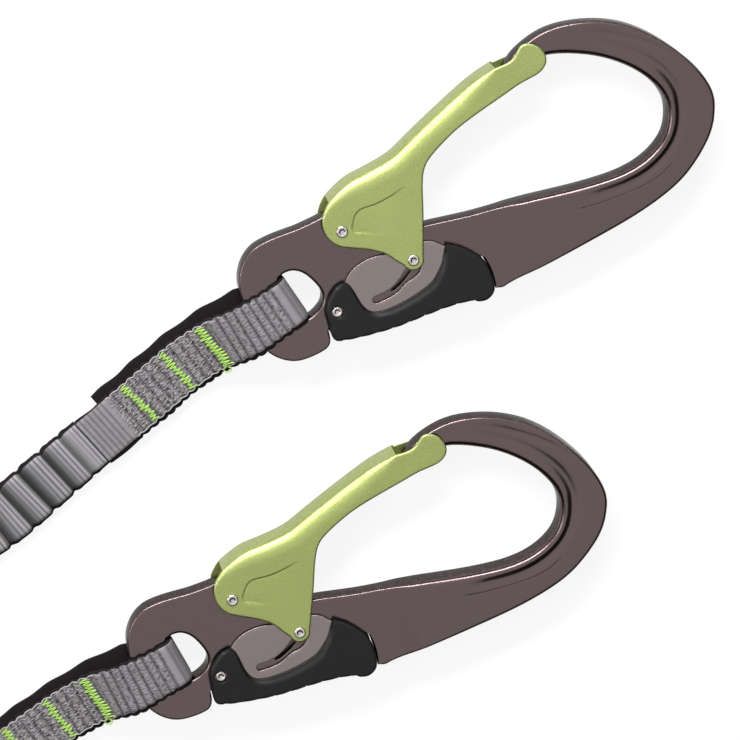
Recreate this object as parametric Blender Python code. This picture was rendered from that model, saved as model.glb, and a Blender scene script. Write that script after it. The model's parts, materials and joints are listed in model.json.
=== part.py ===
"""Via ferrata lanyard: two palm-lever connectors on elastic arms, joined by an energy absorber.

Each connector is laid out in its own plan frame: the origin is on the gate's pivot, +X runs towards the far end
of the hook, +Y towards the gate and +Z out of the front face. The lanyard lies flat, and the origin of the whole
is under the middle of the absorber's pouch. Everything is in metres.
"""
import math

import bmesh
import bpy
import numpy as np
from mathutils import Vector
from mathutils.geometry import delaunay_2d_cdt

merge_distance = 1e-7
smooth_angle = math.radians(35)

# Connector: every plan outline is a share of its length, and every thickness is a size of its own.
connector_length = 0.175
frame_thickness = 0.0084
hook_thickness = 0.0116
frame_edge = 0.0007
hook_inside_edge = 0.0016
eye_edge = 0.0009
edge_fade = 0.0060
groove_depth = 0.0006
groove_width = 0.0030
groove_wall = 0.0006
running_gap = 0.0003
gate_ear_thickness = 0.0010
gate_web_thickness = 0.0012
gate_edge = 0.0005
gate_bend = 0.0016
lever_plate_thickness = 0.0009
grip_wing_thickness = 0.0013
grip_edge = 0.0007
cut_overrun = 0.0030

# Rivets, pins and springs
pivot_shank_radius = 0.0015
pivot_head_radius = 0.0020
cam_pin_radius = 0.0010
cam_pin_head_radius = 0.00195
lever_shank_radius = 0.0012
lever_head_radius = 0.0018
head_thickness = 0.0005
head_dimple = 0.0002
spring_strip_height = 0.0008
spring_strip_thickness = 0.0004
gate_spring_radius = 0.0046
lever_spring_radius = 0.0042
spring_pocket_depth = 0.0018
boss_radius = 0.0068
ear_tip_radius = 0.0037
frame_slot_clearance = 0.0005
cam_slot_clearance = 0.0003

# Motion: the gate swings in by gate_travel, and the lever turns lever_ratio as far the other way.
gate_travel = math.radians(24)
lever_ratio = 0.15

# Webbing
webbing_width = 0.0175
webbing_layer = 0.0020
loop_waist_width = 0.0154
loop_skew = 0.0060
arm_width = 0.0205
arm_swell_length = 0.0300
arm_thickness = 0.0036
arm_lift = 0.0003
gather_pitch = 0.0090
gather_waist_share = 0.72
gather_width_share = 0.93

# Energy absorber
pouch_length = 0.110
pouch_width = 0.054
pouch_height = 0.028
pouch_wall = 0.0014
pouch_end_share = 0.84
tear_layer = 0.0022
tear_gap = 0.0007
tear_layers = 7
tear_width = 0.028
tear_length = 0.074
tie_in_width = 0.022
tie_in_length = 0.106
tie_in_height = 0.013

# Plan places on a connector, as shares of its length
cam_pin_share = (0.115, -0.101)
lever_pivot_share = (-0.058, -0.150)

# Frame: back of the hook from the nose to the heel, heel, edge inside the lever, tail and eye plate, spine
hook_back_share = (
    (0.397, 0.194), (0.426, 0.218), (0.473, 0.237), (0.523, 0.242), (0.588, 0.230), (0.649, 0.202),
    (0.703, 0.155), (0.751, 0.090), (0.774, 0.029), (0.769, -0.017), (0.742, -0.066), (0.683, -0.118),
    (0.617, -0.149), (0.526, -0.173), (0.389, -0.197), (0.302, -0.210), (0.267, -0.217))
heel_share = ((0.267, -0.217), (0.253, -0.213))
heel_cut_share = ((0.253, -0.213), (0.254, -0.177), (0.248, -0.143))
lever_side_share = (
    (0.248, -0.143), (0.189, -0.144), (0.114, -0.157), (0.046, -0.165), (-0.011, -0.168), (-0.037, -0.180),
    (-0.058, -0.183), (-0.085, -0.178))
eye_plate_share = (
    (-0.085, -0.178), (-0.087, -0.201), (-0.100, -0.217), (-0.142, -0.223), (-0.174, -0.217), (-0.203, -0.195),
    (-0.219, -0.163), (-0.226, -0.100), (-0.224, -0.043), (-0.213, -0.013), (-0.195, 0.009), (-0.169, 0.024),
    (-0.129, 0.030), (-0.083, 0.031), (-0.043, 0.035), (-0.026, 0.038))
hook_inside_share = (
    (0.054, -0.033), (0.097, -0.043), (0.165, -0.047), (0.251, -0.057), (0.359, -0.064), (0.461, -0.074),
    (0.546, -0.077), (0.604, -0.067), (0.646, -0.045), (0.670, -0.017), (0.682, 0.024), (0.674, 0.063),
    (0.646, 0.106), (0.603, 0.144), (0.551, 0.173), (0.489, 0.193), (0.440, 0.188), (0.406, 0.181))
eye_share = (
    (-0.147, -0.055), (-0.141, -0.047), (-0.117, -0.045), (-0.096, -0.058), (-0.080, -0.085), (-0.074, -0.109),
    (-0.083, -0.130), (-0.109, -0.145), (-0.139, -0.148), (-0.147, -0.141))
groove_share = (
    (0.530, 0.213), (0.583, 0.190), (0.641, 0.152), (0.686, 0.104), (0.707, 0.056), (0.706, 0.016),
    (0.690, -0.028), (0.660, -0.063), (0.611, -0.089), (0.549, -0.100), (0.460, -0.098))
boss_from, boss_to = math.radians(104), math.radians(-40)
thick_from_share, thick_to_share = 0.285, 0.365
thin_from_share, thin_to_share = 0.600, 0.380

# Gate: web from the notch over the pivot to the nose, nose, inner edge down to the cam pin, ear behind the pivot
gate_web_share = (
    (-0.021, 0.048), (-0.002, 0.066), (0.041, 0.087), (0.085, 0.095), (0.136, 0.106), (0.185, 0.129),
    (0.218, 0.145), (0.297, 0.181), (0.343, 0.198), (0.380, 0.207))
gate_nose_share = (
    (0.380, 0.207), (0.403, 0.208), (0.420, 0.213), (0.433, 0.225), (0.442, 0.232), (0.455, 0.232),
    (0.472, 0.222), (0.482, 0.202), (0.480, 0.186), (0.470, 0.175), (0.455, 0.168), (0.417, 0.161), (0.379, 0.150), (0.311, 0.130), (0.265, 0.113), (0.216, 0.087),
    (0.192, 0.066), (0.178, 0.035), (0.163, -0.017), (0.140, -0.090))
gate_ear_share = (
    (0.094, -0.105), (0.082, -0.091), (0.066, -0.071), (0.040, -0.053), (0.012, -0.040), (-0.015, -0.026),
    (-0.030, -0.005), (-0.033, 0.018), (-0.028, 0.037), (-0.021, 0.048))
gate_mouth_share = (
    (0.380, 0.260), (0.560, 0.260), (0.560, 0.060), (0.230, -0.170), (-0.090, -0.170), (-0.090, 0.034))
ear_tip_from, ear_tip_to = math.radians(8), math.radians(-172)

# Lever side plate and moulded grip
plate_share = (
    (-0.026, -0.100), (-0.018, -0.091), (-0.006, -0.082), (0.011, -0.075), (0.030, -0.071), (0.049, -0.071),
    (0.079, -0.074), (0.114, -0.072), (0.148, -0.075), (0.165, -0.081), (0.183, -0.097), (0.206, -0.111),
    (0.225, -0.129), (0.235, -0.151), (0.237, -0.177), (0.230, -0.203), (0.194, -0.205), (0.114, -0.201),
    (0.029, -0.203), (-0.046, -0.197), (-0.069, -0.184), (-0.079, -0.163), (-0.078, -0.138), (-0.061, -0.118),
    (-0.040, -0.108))
grip_inside_share = (
    (-0.026, -0.098), (-0.018, -0.109), (-0.013, -0.126), (-0.009, -0.146), (-0.003, -0.162), (0.007, -0.173),
    (0.023, -0.178), (0.049, -0.178), (0.079, -0.174), (0.111, -0.166), (0.137, -0.156), (0.152, -0.143),
    (0.165, -0.129), (0.174, -0.113), (0.180, -0.101), (0.187, -0.092))
grip_outside_share = (
    (0.187, -0.092), (0.211, -0.107), (0.230, -0.125), (0.244, -0.143), (0.251, -0.163), (0.253, -0.188),
    (0.250, -0.210), (0.240, -0.222), (0.226, -0.227), (0.210, -0.224), (0.194, -0.218), (0.147, -0.215),
    (0.091, -0.217), (0.042, -0.219), (-0.013, -0.216), (-0.054, -0.211), (-0.077, -0.205), (-0.083, -0.191),
    (-0.083, -0.166), (-0.080, -0.139), (-0.066, -0.117), (-0.046, -0.101), (-0.026, -0.098))
grip_room_share = (
    (-0.120, -0.050), (-0.120, -0.260), (-0.079, -0.260), (-0.078, -0.187), (-0.063, -0.187), (-0.017, -0.185),
    (0.057, -0.178), (0.240, -0.173), (0.243, -0.260), (0.300, -0.260), (0.300, -0.050))
cam_slot_tail_share = ((0.043, -0.152), (0.022, -0.154))
cam_slot_notch_share = ((0.115, -0.101), (0.119, -0.121), (0.101, -0.132))

# Sewn end loop: its line in plan, from its fold inside the eye to where the elastic starts
loop_line_share = ((-0.123, -0.097), (-0.211, -0.121), (-0.300, -0.141), (-0.385, -0.168), (-0.487, -0.209),
                   (-0.594, -0.252))

# Elastic arms: where each runs, read from above with its height, from its sewn loop into the pouch
arm_route_upper = (
    (0.24255, 0.09355, 0.0023), (0.2230, 0.0845, 0.0023), (0.2040, 0.0758, 0.0022), (0.1850, 0.0712, 0.0022),
    (0.1665, 0.0735, 0.0022), (0.1500, 0.0825, 0.0022), (0.1360, 0.0960, 0.0022), (0.1240, 0.1125, 0.0022),
    (0.1155, 0.1310, 0.0022), (0.1115, 0.1500, 0.0022), (0.1088, 0.1710, 0.0022), (0.1010, 0.1930, 0.0022),
    (0.0840, 0.2125, 0.0022), (0.0615, 0.2235, 0.0022), (0.0365, 0.2235, 0.0022), (0.0128, 0.2123, 0.0022),
    (-0.0042, 0.1917, 0.0022), (-0.0104, 0.1660, 0.0022), (-0.0113, 0.1390, 0.0022), (-0.0113, 0.1130, 0.0022),
    (-0.0110, 0.0880, 0.0024), (-0.0104, 0.0690, 0.0031), (-0.0103, 0.0540, 0.0038), (-0.0103, 0.0400, 0.0036))
arm_route_lower = (
    (0.16725, -0.01165, 0.0023), (0.1485, -0.0181, 0.0023), (0.1290, -0.0213, 0.0022), (0.1098, -0.0192, 0.0022),
    (0.0930, -0.0098, 0.0022), (0.0822, 0.0062, 0.0022), (0.0788, 0.0265, 0.0022), (0.0818, 0.0500, 0.0022),
    (0.0872, 0.0730, 0.0022), (0.0896, 0.0960, 0.0022), (0.0892, 0.1220, 0.0022), (0.0887, 0.1475, 0.0022),
    (0.0860, 0.1735, 0.0022), (0.0740, 0.1920, 0.0022), (0.0570, 0.2015, 0.0022), (0.0385, 0.2010, 0.0022),
    (0.0222, 0.1897, 0.0022), (0.0128, 0.1715, 0.0022), (0.0113, 0.1460, 0.0022), (0.0113, 0.1190, 0.0022),
    (0.0110, 0.0920, 0.0024), (0.0104, 0.0700, 0.0031), (0.0103, 0.0540, 0.0038), (0.0103, 0.0400, 0.0036))
connector_turns = {"upper": math.radians(2.65), "lower": math.radians(-2.65)}
arm_routes = {"upper": arm_route_upper, "lower": arm_route_lower}

# Levels above a connector's middle plane, from the frame's face outwards
frame_face = frame_thickness / 2
hook_face = hook_thickness / 2
plate_inner = frame_face + running_gap
plate_outer = plate_inner + lever_plate_thickness
ear_inner = plate_outer + running_gap
ear_outer = ear_inner + gate_ear_thickness
wing_outer = ear_inner + grip_wing_thickness
head_inner = ear_outer + running_gap
head_outer = head_inner + head_thickness
middle_height = max(head_outer, hook_face, wing_outer + running_gap)
tear_end = (tear_length + tear_gap) / 2 + tear_layer


def plan(shares):
    """Points in a connector's plan, from shares of its length."""
    return np.array(shares, float) * connector_length


def smooth(points, steps=2):
    """Points on a Catmull-Rom curve through the given points, both ends included."""
    p = np.array(points, float)
    p = np.vstack([2 * p[0] - p[1], p, 2 * p[-1] - p[-2]])
    t = np.linspace(0, 1, steps, endpoint=False)[:, None]
    spans = []
    for a, b, c, d in zip(p, p[1:], p[2:], p[3:]):
        spans.append(b + (c - a) * t / 2 + (2 * a - 5 * b + 4 * c - d) * t**2 / 2
                     + (3 * (b - c) + d - a) * t**3 / 2)
    return np.vstack(spans + [p[-2:-1]])


def smooth_loop(points, steps=2):
    """The same curve through points that close on themselves, without a repeated end."""
    p = np.array(points, float)
    around = np.vstack([p[-2:], p, p[:3]])
    return smooth(around, steps)[2 * steps:2 * steps + len(p) * steps]


def arc(centre, radius, start, stop, steps):
    """Points on an arc about a centre, from one angle to another."""
    angles = np.linspace(start, stop, steps + 1)
    return np.array(centre) + radius * np.stack([np.cos(angles), np.sin(angles)], axis=1)


def circle(centre, radius, steps=16):
    """A closed ring of points."""
    return arc(centre, radius, 0, 2 * math.pi, steps)[:-1]


def chain(*runs):
    """Runs of points set end to end as one closed loop, with shared ends kept once."""
    points = []
    for run in runs:
        for point in run:
            if not points or np.linalg.norm(point - points[-1]) > merge_distance:
                points.append(point)
    if np.linalg.norm(points[0] - points[-1]) <= merge_distance:
        points.pop()
    return np.array(points)


def signed_area(loop):
    """Area inside a loop, positive where it runs anticlockwise."""
    x, y = loop[:, 0], loop[:, 1]
    return (x * np.roll(y, -1) - y * np.roll(x, -1)).sum() / 2


def wound(loop, anticlockwise=True):
    """The loop, turned round if need be so that it runs the way asked."""
    return loop if (signed_area(loop) > 0) == anticlockwise else loop[::-1]


def inset(loop, distance):
    """The loop moved sideways, to the left of its own direction, with mitred corners."""
    ahead = np.roll(loop, -1, axis=0) - loop
    ahead /= np.linalg.norm(ahead, axis=1)[:, None]
    side = np.stack([-ahead[:, 1], ahead[:, 0]], axis=1)
    both = side + np.roll(side, 1, axis=0)
    both /= np.linalg.norm(both, axis=1)[:, None]
    stretch = np.clip((both * side).sum(axis=1), 0.6, 1)
    return loop + both * (distance / stretch)[:, None]


def ribbon(line, width):
    """A closed loop on both sides of a line, of the given width, with rounded ends."""
    line = np.array(line)
    ahead = np.gradient(line, axis=0)
    ahead /= np.linalg.norm(ahead, axis=1)[:, None]
    side = np.stack([-ahead[:, 1], ahead[:, 0]], axis=1) * width / 2
    first, last = math.atan2(*ahead[0][::-1]), math.atan2(*ahead[-1][::-1])
    quarter = math.pi / 2
    tail = arc(line[-1], width / 2, last + quarter, last - quarter, 6)[1:-1]
    head = arc(line[0], width / 2, first - quarter, first - 3 * quarter, 6)[1:-1]
    return np.vstack([line + side, tail, (line - side)[::-1], head])


def fade(points, line, width):
    """1 at the points of a line, falling to 0 a width away from them."""
    apart = np.linalg.norm(points[:, None] - np.array(line)[None], axis=2).min(axis=1)
    return np.clip(1 - apart / width, 0, 1)


def inside(points, loop):
    """Which points lie inside a loop, by counting the edges crossed on the way out."""
    a, b = loop, np.roll(loop, -1, axis=0)
    x, y = points[:, :1], points[:, 1:]
    crosses = (a[:, 1] > y) != (b[:, 1] > y)
    rise = np.where(b[:, 1] == a[:, 1], 1, b[:, 1] - a[:, 1])
    reach = a[:, 0] + (y - a[:, 1]) * (b[:, 0] - a[:, 0]) / rise
    return (crosses & (x < reach)).sum(axis=1) % 2 == 1


def fill(loops):
    """Triangles between an outer loop and its holes, as indices into the loops laid end to end."""
    points = np.vstack(loops)
    edges, start = [], 0
    for loop in loops:
        count = len(loop)
        edges += [(start + i, start + (i + 1) % count) for i in range(count)]
        start += count
    corner = points.min(axis=0)
    unit = (points - corner) / np.ptp(points, axis=0).max()
    found = delaunay_2d_cdt([Vector(p) for p in unit], edges, [], 0, 1e-9)
    origin = [sources[0] for sources in found[3]]
    triangles = np.array([[origin[i] for i in face] for face in found[2]])
    middles = points[triangles].mean(axis=1)
    keep = np.zeros(len(triangles), bool)
    for loop in loops:
        keep ^= inside(middles, loop)
    return triangles[keep]


class Shell:
    """Points and faces of one closed body, added ring by ring."""

    def __init__(self):
        self.points = []
        self.faces = []

    def add(self, plan_points, heights):
        """Add a ring of points and return their numbers."""
        start = len(self.points)
        heights = np.broadcast_to(heights, len(plan_points))
        self.points += [(x, y, z) for (x, y), z in zip(plan_points, heights)]
        return list(range(start, len(self.points)))

    def bridge(self, lower, upper):
        """Join two rings of equal count with four-sided faces."""
        for i in range(len(lower)):
            j = (i + 1) % len(lower)
            self.faces.append((lower[i], lower[j], upper[j], upper[i]))

    def cap(self, rings, upward):
        """Fill between rings: an outer one and its holes."""
        flat = [np.array([self.points[i][:2] for i in ring]) for ring in rings]
        numbers = [i for ring in rings for i in ring]
        for triangle in fill(flat):
            face = [numbers[i] for i in triangle]
            self.faces.append(face if upward else face[::-1])


def slab(outer, holes, top, bottom, edge, edge_size=0, hole_sizes=(), recess=None):
    """A flat piece between two faces, its edges eased by steps of (inset, drop) from the wall to the face.

    The steps are shares of the edge's size, which is one number or one for each of the outline's points, and
    hole_sizes gives one for each hole that is eased. top and bottom give the height at plan points. recess is
    a loop, its depth and its wall's width, sunk into both faces.
    """
    shell = Shell()
    faces = {1: [], -1: []}
    sharp = ((0, 0),)
    sizes = list(hole_sizes) + [0] * (len(holes) - len(hole_sizes))
    loops = [(outer, edge, edge_size)] + [(wound(hole, False), edge if size else sharp, size)
                                          for hole, size in zip(holes, sizes)]
    for loop, steps, size in loops:
        rings = []
        size = np.broadcast_to(size, len(loop))
        for sign, level in ((-1, bottom), (1, top)):
            around = steps[::-1] if sign < 0 else steps
            for step_in, drop in around:
                rings.append(shell.add(inset(loop, step_in * size), level(loop) - sign * drop * size))
        for lower, upper in zip(rings, rings[1:]):
            shell.bridge(lower, upper)
        faces[-1].append(rings[0])
        faces[1].append(rings[-1])
    for sign, level in ((-1, bottom), (1, top)):
        if recess:
            loop, depth, wall = recess
            rim = shell.add(loop, level(loop))
            floor = shell.add(inset(loop, wall), level(loop) - sign * depth)
            faces[sign].append(rim)
            shell.bridge(floor, rim)
            shell.cap([floor], sign > 0)
        shell.cap(faces[sign], sign > 0)
    return shell


def level_at(height):
    """A face at one height everywhere."""
    return lambda points: np.full(len(points), height)


def lathe(profile, steps=12):
    """A turned piece from (radius, height) points, from the bottom's middle to the top's."""
    shell = Shell()
    centre = (0.0, 0.0)
    first = shell.add([centre], profile[0][1])[0]
    rings = [shell.add(circle(centre, radius, steps), height) for radius, height in profile[1:-1]]
    last = shell.add([centre], profile[-1][1])[0]
    for lower, upper in zip(rings, rings[1:]):
        shell.bridge(lower, upper)
    for i in range(steps):
        j = (i + 1) % steps
        shell.faces.append((first, rings[0][j], rings[0][i]))
        shell.faces.append((last, rings[-1][i], rings[-1][j]))
    return shell


def sweep(path, section, widths=1, depths=1):
    """A section of (across, up) points carried along a path, with its own scale at each point."""
    path = np.array(path, float)
    ahead = np.gradient(path, axis=0)
    ahead /= np.linalg.norm(ahead, axis=1)[:, None]
    across = np.cross(ahead, [0, 0, 1])
    across /= np.linalg.norm(across, axis=1)[:, None]
    up = np.cross(across, ahead)
    section = np.array(section)
    widths = np.broadcast_to(widths, len(path))[:, None, None]
    depths = np.broadcast_to(depths, len(path))[:, None, None]
    rings = (path[:, None] + across[:, None] * section[None, :, :1] * widths
             + up[:, None] * section[None, :, 1:] * depths)
    count = len(section)
    shell = Shell()
    shell.points = [tuple(p) for p in rings.reshape(-1, 3)]
    for i in range(len(path) - 1):
        shell.bridge(list(range(i * count, (i + 1) * count)), list(range((i + 1) * count, (i + 2) * count)))
    last = (len(path) - 1) * count
    shell.faces.append(list(range(count))[::-1])
    shell.faces.append(list(range(last, last + count)))
    return shell


def band(outer, inner, line, widths, skew=lambda distance: 0):
    """A loop of webbing: side outlines carried along a plan line and given a width.

    An outline's points are (distance, height, share), where share is how far the point takes part in the skew,
    which moves one leg of the loop sideways.
    """
    line = np.array(line)
    along = np.concatenate([[0], np.cumsum(np.linalg.norm(np.diff(line, axis=0), axis=1))])
    ahead = np.gradient(line, axis=0)
    ahead /= np.linalg.norm(ahead, axis=1)[:, None]
    shell = Shell()
    sides = []
    for side in (-1, 1):
        rings = []
        for loop in (outer, inner):
            distance = loop[:, 0]
            x, y, ax, ay = (np.interp(distance, along, v) for v in (*line.T, *ahead.T))
            reach = side * widths(distance) / 2 - skew(distance) * loop[:, 2]
            rings.append(shell.add(np.stack([x - ay * reach, y + ax * reach], axis=1), loop[:, 1]))
        sides.append(rings)
    numbers = [[i for ring in rings for i in ring] for rings in sides]
    for triangle in fill([outer[:, :2], inner[:, :2]]):
        shell.faces.append([numbers[0][i] for i in triangle])
        shell.faces.append([numbers[1][i] for i in triangle][::-1])
    for near, far in zip(*sides):
        shell.bridge(near, far)
    return shell


def material(name, colour, roughness, metallic):
    """A plain finish of the piece's colour."""
    made = bpy.data.materials.new(name)
    made.use_nodes = True
    shader = made.node_tree.nodes["Principled BSDF"]
    shader.inputs["Base Color"].default_value = (*colour, 1)
    shader.inputs["Roughness"].default_value = roughness
    shader.inputs["Metallic"].default_value = metallic
    return made


finishes = {
    "frame": ((0.128, 0.094, 0.094), 0.42, 0.9),
    "gate": ((0.366, 0.445, 0.138), 0.38, 0.8),
    "plate": ((0.305, 0.254, 0.254), 0.35, 1.0),
    "steel": ((0.62, 0.60, 0.58), 0.25, 1.0),
    "grip": ((0.024, 0.022, 0.023), 0.60, 0.0),
    "webbing": ((0.305, 0.292, 0.305), 0.90, 0.0),
    "pouch": ((0.030, 0.028, 0.030), 0.85, 0.0),
}


def piece(name, shell, finish, parent=None, place=(0, 0, 0)):
    """Make an object of a closed body, with its faces outwards and its own finish."""
    mesh = bpy.data.meshes.new(name)
    mesh.from_pydata(shell.points, [], shell.faces)
    work = bmesh.new()
    work.from_mesh(mesh)
    bmesh.ops.recalc_face_normals(work, faces=work.faces)
    work.to_mesh(mesh)
    work.free()
    mesh.shade_smooth()
    mesh.set_sharp_from_angle(angle=smooth_angle)
    made = bpy.data.objects.new(name, mesh)
    bpy.context.scene.collection.objects.link(made)
    mesh.materials.append(material(name, *finishes[finish]))
    made.parent = parent
    made.location = place
    return made


def cut(target, shell, parent, place=(0, 0, 0)):
    """Take a body away from a piece."""
    cutter = piece(target.name + "_cutter", shell, "steel", parent, place)
    cutter.hide_render = True
    cutter.display_type = "WIRE"
    step = target.modifiers.new("cut", "BOOLEAN")
    step.operation = "DIFFERENCE"
    step.object = cutter


def frame_level(points):
    """Half the frame's thickness: the hook is thickest at its end, and thins towards the eye plate and the nose."""
    x, y = points[:, 0] / connector_length, points[:, 1] / connector_length
    along_spine = (x - thick_from_share) / (thick_to_share - thick_from_share)
    round_hook = (x - y - thin_to_share) / (thin_from_share - thin_to_share)
    rise = np.clip(np.where(y > 0, round_hook, along_spine), 0, 1)
    return frame_face + (hook_face - frame_face) * rise * rise * (3 - 2 * rise)


def pin_angle():
    """Direction of the cam pin from the gate's pivot, gate shut."""
    return math.atan2(cam_pin_share[1], cam_pin_share[0])


def cam_pin_line(first, last, steps):
    """Where the cam pin goes in plan as the gate swings in, between two gate angles."""
    reach = np.linalg.norm(plan(cam_pin_share))
    return arc((0, 0), reach, pin_angle() - first, pin_angle() - last, steps)


def cam_line(first, last, steps):
    """The cam pin's way as the turning lever sees it: the pin's place turned back about the lever's pivot."""
    pivot = plan(lever_pivot_share)
    swing = np.linspace(first, last, steps + 1)
    back = -lever_ratio * swing
    from_pivot = cam_pin_line(first, last, steps) - pivot
    c, s = np.cos(back), np.sin(back)
    return pivot + np.stack([from_pivot[:, 0] * c - from_pivot[:, 1] * s,
                             from_pivot[:, 0] * s + from_pivot[:, 1] * c], axis=1)


def make_frame(name, parent):
    """Hook, spine, eye plate and nose in one, with the eye, the pivots' holes and the cam pin's slot."""
    outer = wound(chain(smooth(plan(hook_back_share)), plan(heel_share), smooth(plan(heel_cut_share)),
                        smooth(plan(lever_side_share)), smooth(plan(eye_plate_share)),
                        arc((0, 0), boss_radius, boss_from, boss_to, 8), smooth(plan(hook_inside_share))))
    overswing = gate_travel / 12
    slot_line = cam_pin_line(-overswing, gate_travel + overswing, 8)
    slot = ribbon(slot_line, 2 * (cam_pin_radius + frame_slot_clearance))
    lever_pivot = plan(lever_pivot_share)
    holes = [smooth_loop(plan(eye_share)), slot, circle((0, 0), pivot_shank_radius + running_gap),
             circle(lever_pivot, lever_shank_radius + running_gap)]
    groove = wound(ribbon(plan(groove_share), groove_width))
    well_inside = smooth(plan(hook_inside_share[3:-2]))
    edge_size = frame_edge + (hook_inside_edge - frame_edge) * fade(outer, well_inside, edge_fade)
    shell = slab(outer, holes, frame_level, lambda p: -frame_level(p), ((0, 1), (0.35, 0.3), (1, 0)), edge_size,
                 [eye_edge], recess=(groove, groove_depth, groove_wall))
    frame = piece(name, shell, "frame", parent)
    pocket_radius = lever_spring_radius + spring_strip_thickness / 2 + running_gap
    low = -frame_face - cut_overrun
    pocket = slab(circle(lever_pivot, pocket_radius, 24), [], level_at(spring_pocket_depth - frame_face),
                  level_at(low), ((0, 0),))
    cut(frame, pocket, parent)


def make_gate(name, parent):
    """U-shaped gate: two ears outside the frame, joined by a web along the outer side, open at the nose."""
    web = smooth(plan(gate_web_share))
    pin = plan(cam_pin_share)
    outer = wound(chain(web, smooth(plan(gate_nose_share)), arc(pin, ear_tip_radius, ear_tip_from, ear_tip_to, 8),
                        smooth(plan(gate_ear_share))))
    holes = [circle((0, 0), pivot_shank_radius + running_gap), circle(pin, cam_pin_radius + running_gap, 12)]
    edge_size = gate_edge + (gate_bend - gate_edge) * fade(outer, web, edge_fade)
    shell = slab(outer, holes, level_at(ear_outer), level_at(-ear_outer), ((0, 1), (0.3, 0.3), (1, 0)), edge_size)
    gate = piece(name, shell, "gate", parent)
    ahead = np.gradient(web, axis=0)
    ahead /= np.linalg.norm(ahead, axis=1)[:, None]
    web_inside = web + np.stack([ahead[:, 1], -ahead[:, 0]], axis=1) * gate_web_thickness
    room = np.vstack([web_inside, plan(gate_mouth_share)])
    cut(gate, slab(wound(room), [], level_at(ear_inner), level_at(-ear_inner), ((0, 0),)), parent)


def make_lever_plate(name, parent, side):
    """Flat side plate of the palm lever, with the slot that the cam pin runs in."""
    pivot = plan(lever_pivot_share)
    outer = wound(smooth_loop(plan(plate_share)) - pivot)
    hole = circle((0, 0), lever_shank_radius + running_gap)
    low, high = sorted((side * plate_inner, side * plate_outer))
    plate = piece(name, slab(outer, [hole], level_at(high), level_at(low), ((0, 0),)), "plate", parent)
    width = 2 * (cam_pin_radius + cam_slot_clearance)
    overswing = gate_travel / 12
    run = np.vstack([cam_line(-overswing, gate_travel + overswing, 8), plan(cam_slot_tail_share)]) - pivot
    corner = chain(smooth(plan(cam_slot_notch_share)), cam_line(0.75 * gate_travel, 0, 6)) - pivot
    for loop in (wound(ribbon(run, width)), inset(wound(corner), -width / 2)):
        slot = slab(loop, [], level_at(high + cut_overrun), level_at(low - cut_overrun), ((0, 0),))
        cut(plate, slot, parent)


def make_grip(name, parent):
    """Moulded grip: a wing on each side plate, joined below the frame's edge by a bridge."""
    pivot = plan(lever_pivot_share)
    outer = chain(smooth(plan(grip_inside_share)), smooth(plan(grip_outside_share))) - pivot
    hole = circle((0, 0), lever_head_radius + running_gap)
    shell = slab(wound(outer), [hole], level_at(wing_outer), level_at(-wing_outer),
                 ((0, 1), (0.3, 0.3), (1, 0)), grip_edge)
    grip = piece(name, shell, "grip", parent)
    room = wound(plan(grip_room_share) - pivot)
    cut(grip, slab(room, [], level_at(ear_inner), level_at(-ear_inner), ((0, 0),)), parent)
    pocket = inset(wound(smooth_loop(plan(plate_share)) - pivot), -running_gap)
    for low, high in ((frame_face, ear_inner), (-ear_inner, -frame_face)):
        cut(grip, slab(pocket, [], level_at(high), level_at(low), ((0, 0),)), parent)


def rivet(shank, head, inner, outer):
    """Profile of a rivet with a dimpled flat head at both ends, from its bottom to its top."""
    dimple = outer - head_dimple
    return ((0, -dimple), (head / 2, -outer), (head - head_dimple, -outer), (head, head_dimple - outer),
            (head, -inner), (shank, -inner), (shank, inner), (head, inner), (head, outer - head_dimple),
            (head - head_dimple, outer), (head / 2, outer), (0, dimple))


def spiral_spring(name, parent, inner_radius, outer_radius, height, turns=2):
    """Spring of flat strip, wound in one plane round a pivot."""
    angles = np.linspace(0, turns * 2 * math.pi, turns * 12 + 1)
    radii = np.linspace(inner_radius, outer_radius, len(angles))
    path = np.stack([radii * np.cos(angles), radii * np.sin(angles), np.full(len(angles), height)], axis=1)
    across, up = spring_strip_thickness / 2, spring_strip_height / 2
    section = ((across, -up), (across, up), (-across, up), (-across, -up))
    return piece(name, sweep(path, section), "steel", parent)


def loop_sides():
    """Outer and inner outline of the sewn loop, seen from its side, as (distance from the fold, height, share).

    The share is 1 on the leg behind the frame, which lies askew under the front one.
    """
    inner_top = frame_face + running_gap
    outer_top = inner_top + webbing_layer
    floor = arm_lift - middle_height
    tail_top = floor + 2 * webbing_layer
    line = plan(loop_line_share)
    length = np.linalg.norm(np.diff(smooth(line, 6), axis=0), axis=1).sum()
    bar = connector_length * abs(eye_plate_share[7][0] - eye_share[0][0])
    over = 2 * webbing_layer + bar + webbing_width / 8
    down = over + 2 * (outer_top - tail_top)
    close = (over + down) / 2
    outer = [(length, floor, 1), (down, floor, 1), (over + webbing_layer, (floor - outer_top) / 2, 1),
             (over, -outer_top, 1), (3 * webbing_layer, -outer_top, 1), (webbing_layer, -0.85 * outer_top, 1),
             (0, -inner_top / 2, 0.5), (0, inner_top / 2, 0), (webbing_layer, 0.85 * outer_top, 0),
             (3 * webbing_layer, outer_top, 0), (over, outer_top, 0), (over + webbing_layer, 0.95 * outer_top, 0),
             (close, outer_top / 2 + tail_top / 2, 0), (down, tail_top, 0), (length, tail_top, 0)]
    inner = [(over, -inner_top, 1), (1.25 * webbing_layer, -inner_top, 1), (webbing_layer, -0.9 * inner_top, 1),
             (webbing_layer, 0.9 * inner_top, 0), (1.25 * webbing_layer, inner_top, 0), (over, inner_top, 0),
             (close - 2 * webbing_layer, inner_top / 2, 0), (close, floor + 1.2 * webbing_layer, 0.5),
             (close - 2 * webbing_layer, floor + 1.1 * webbing_layer, 1)]
    return np.array(outer), np.array(inner), smooth(line, 6), length


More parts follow.
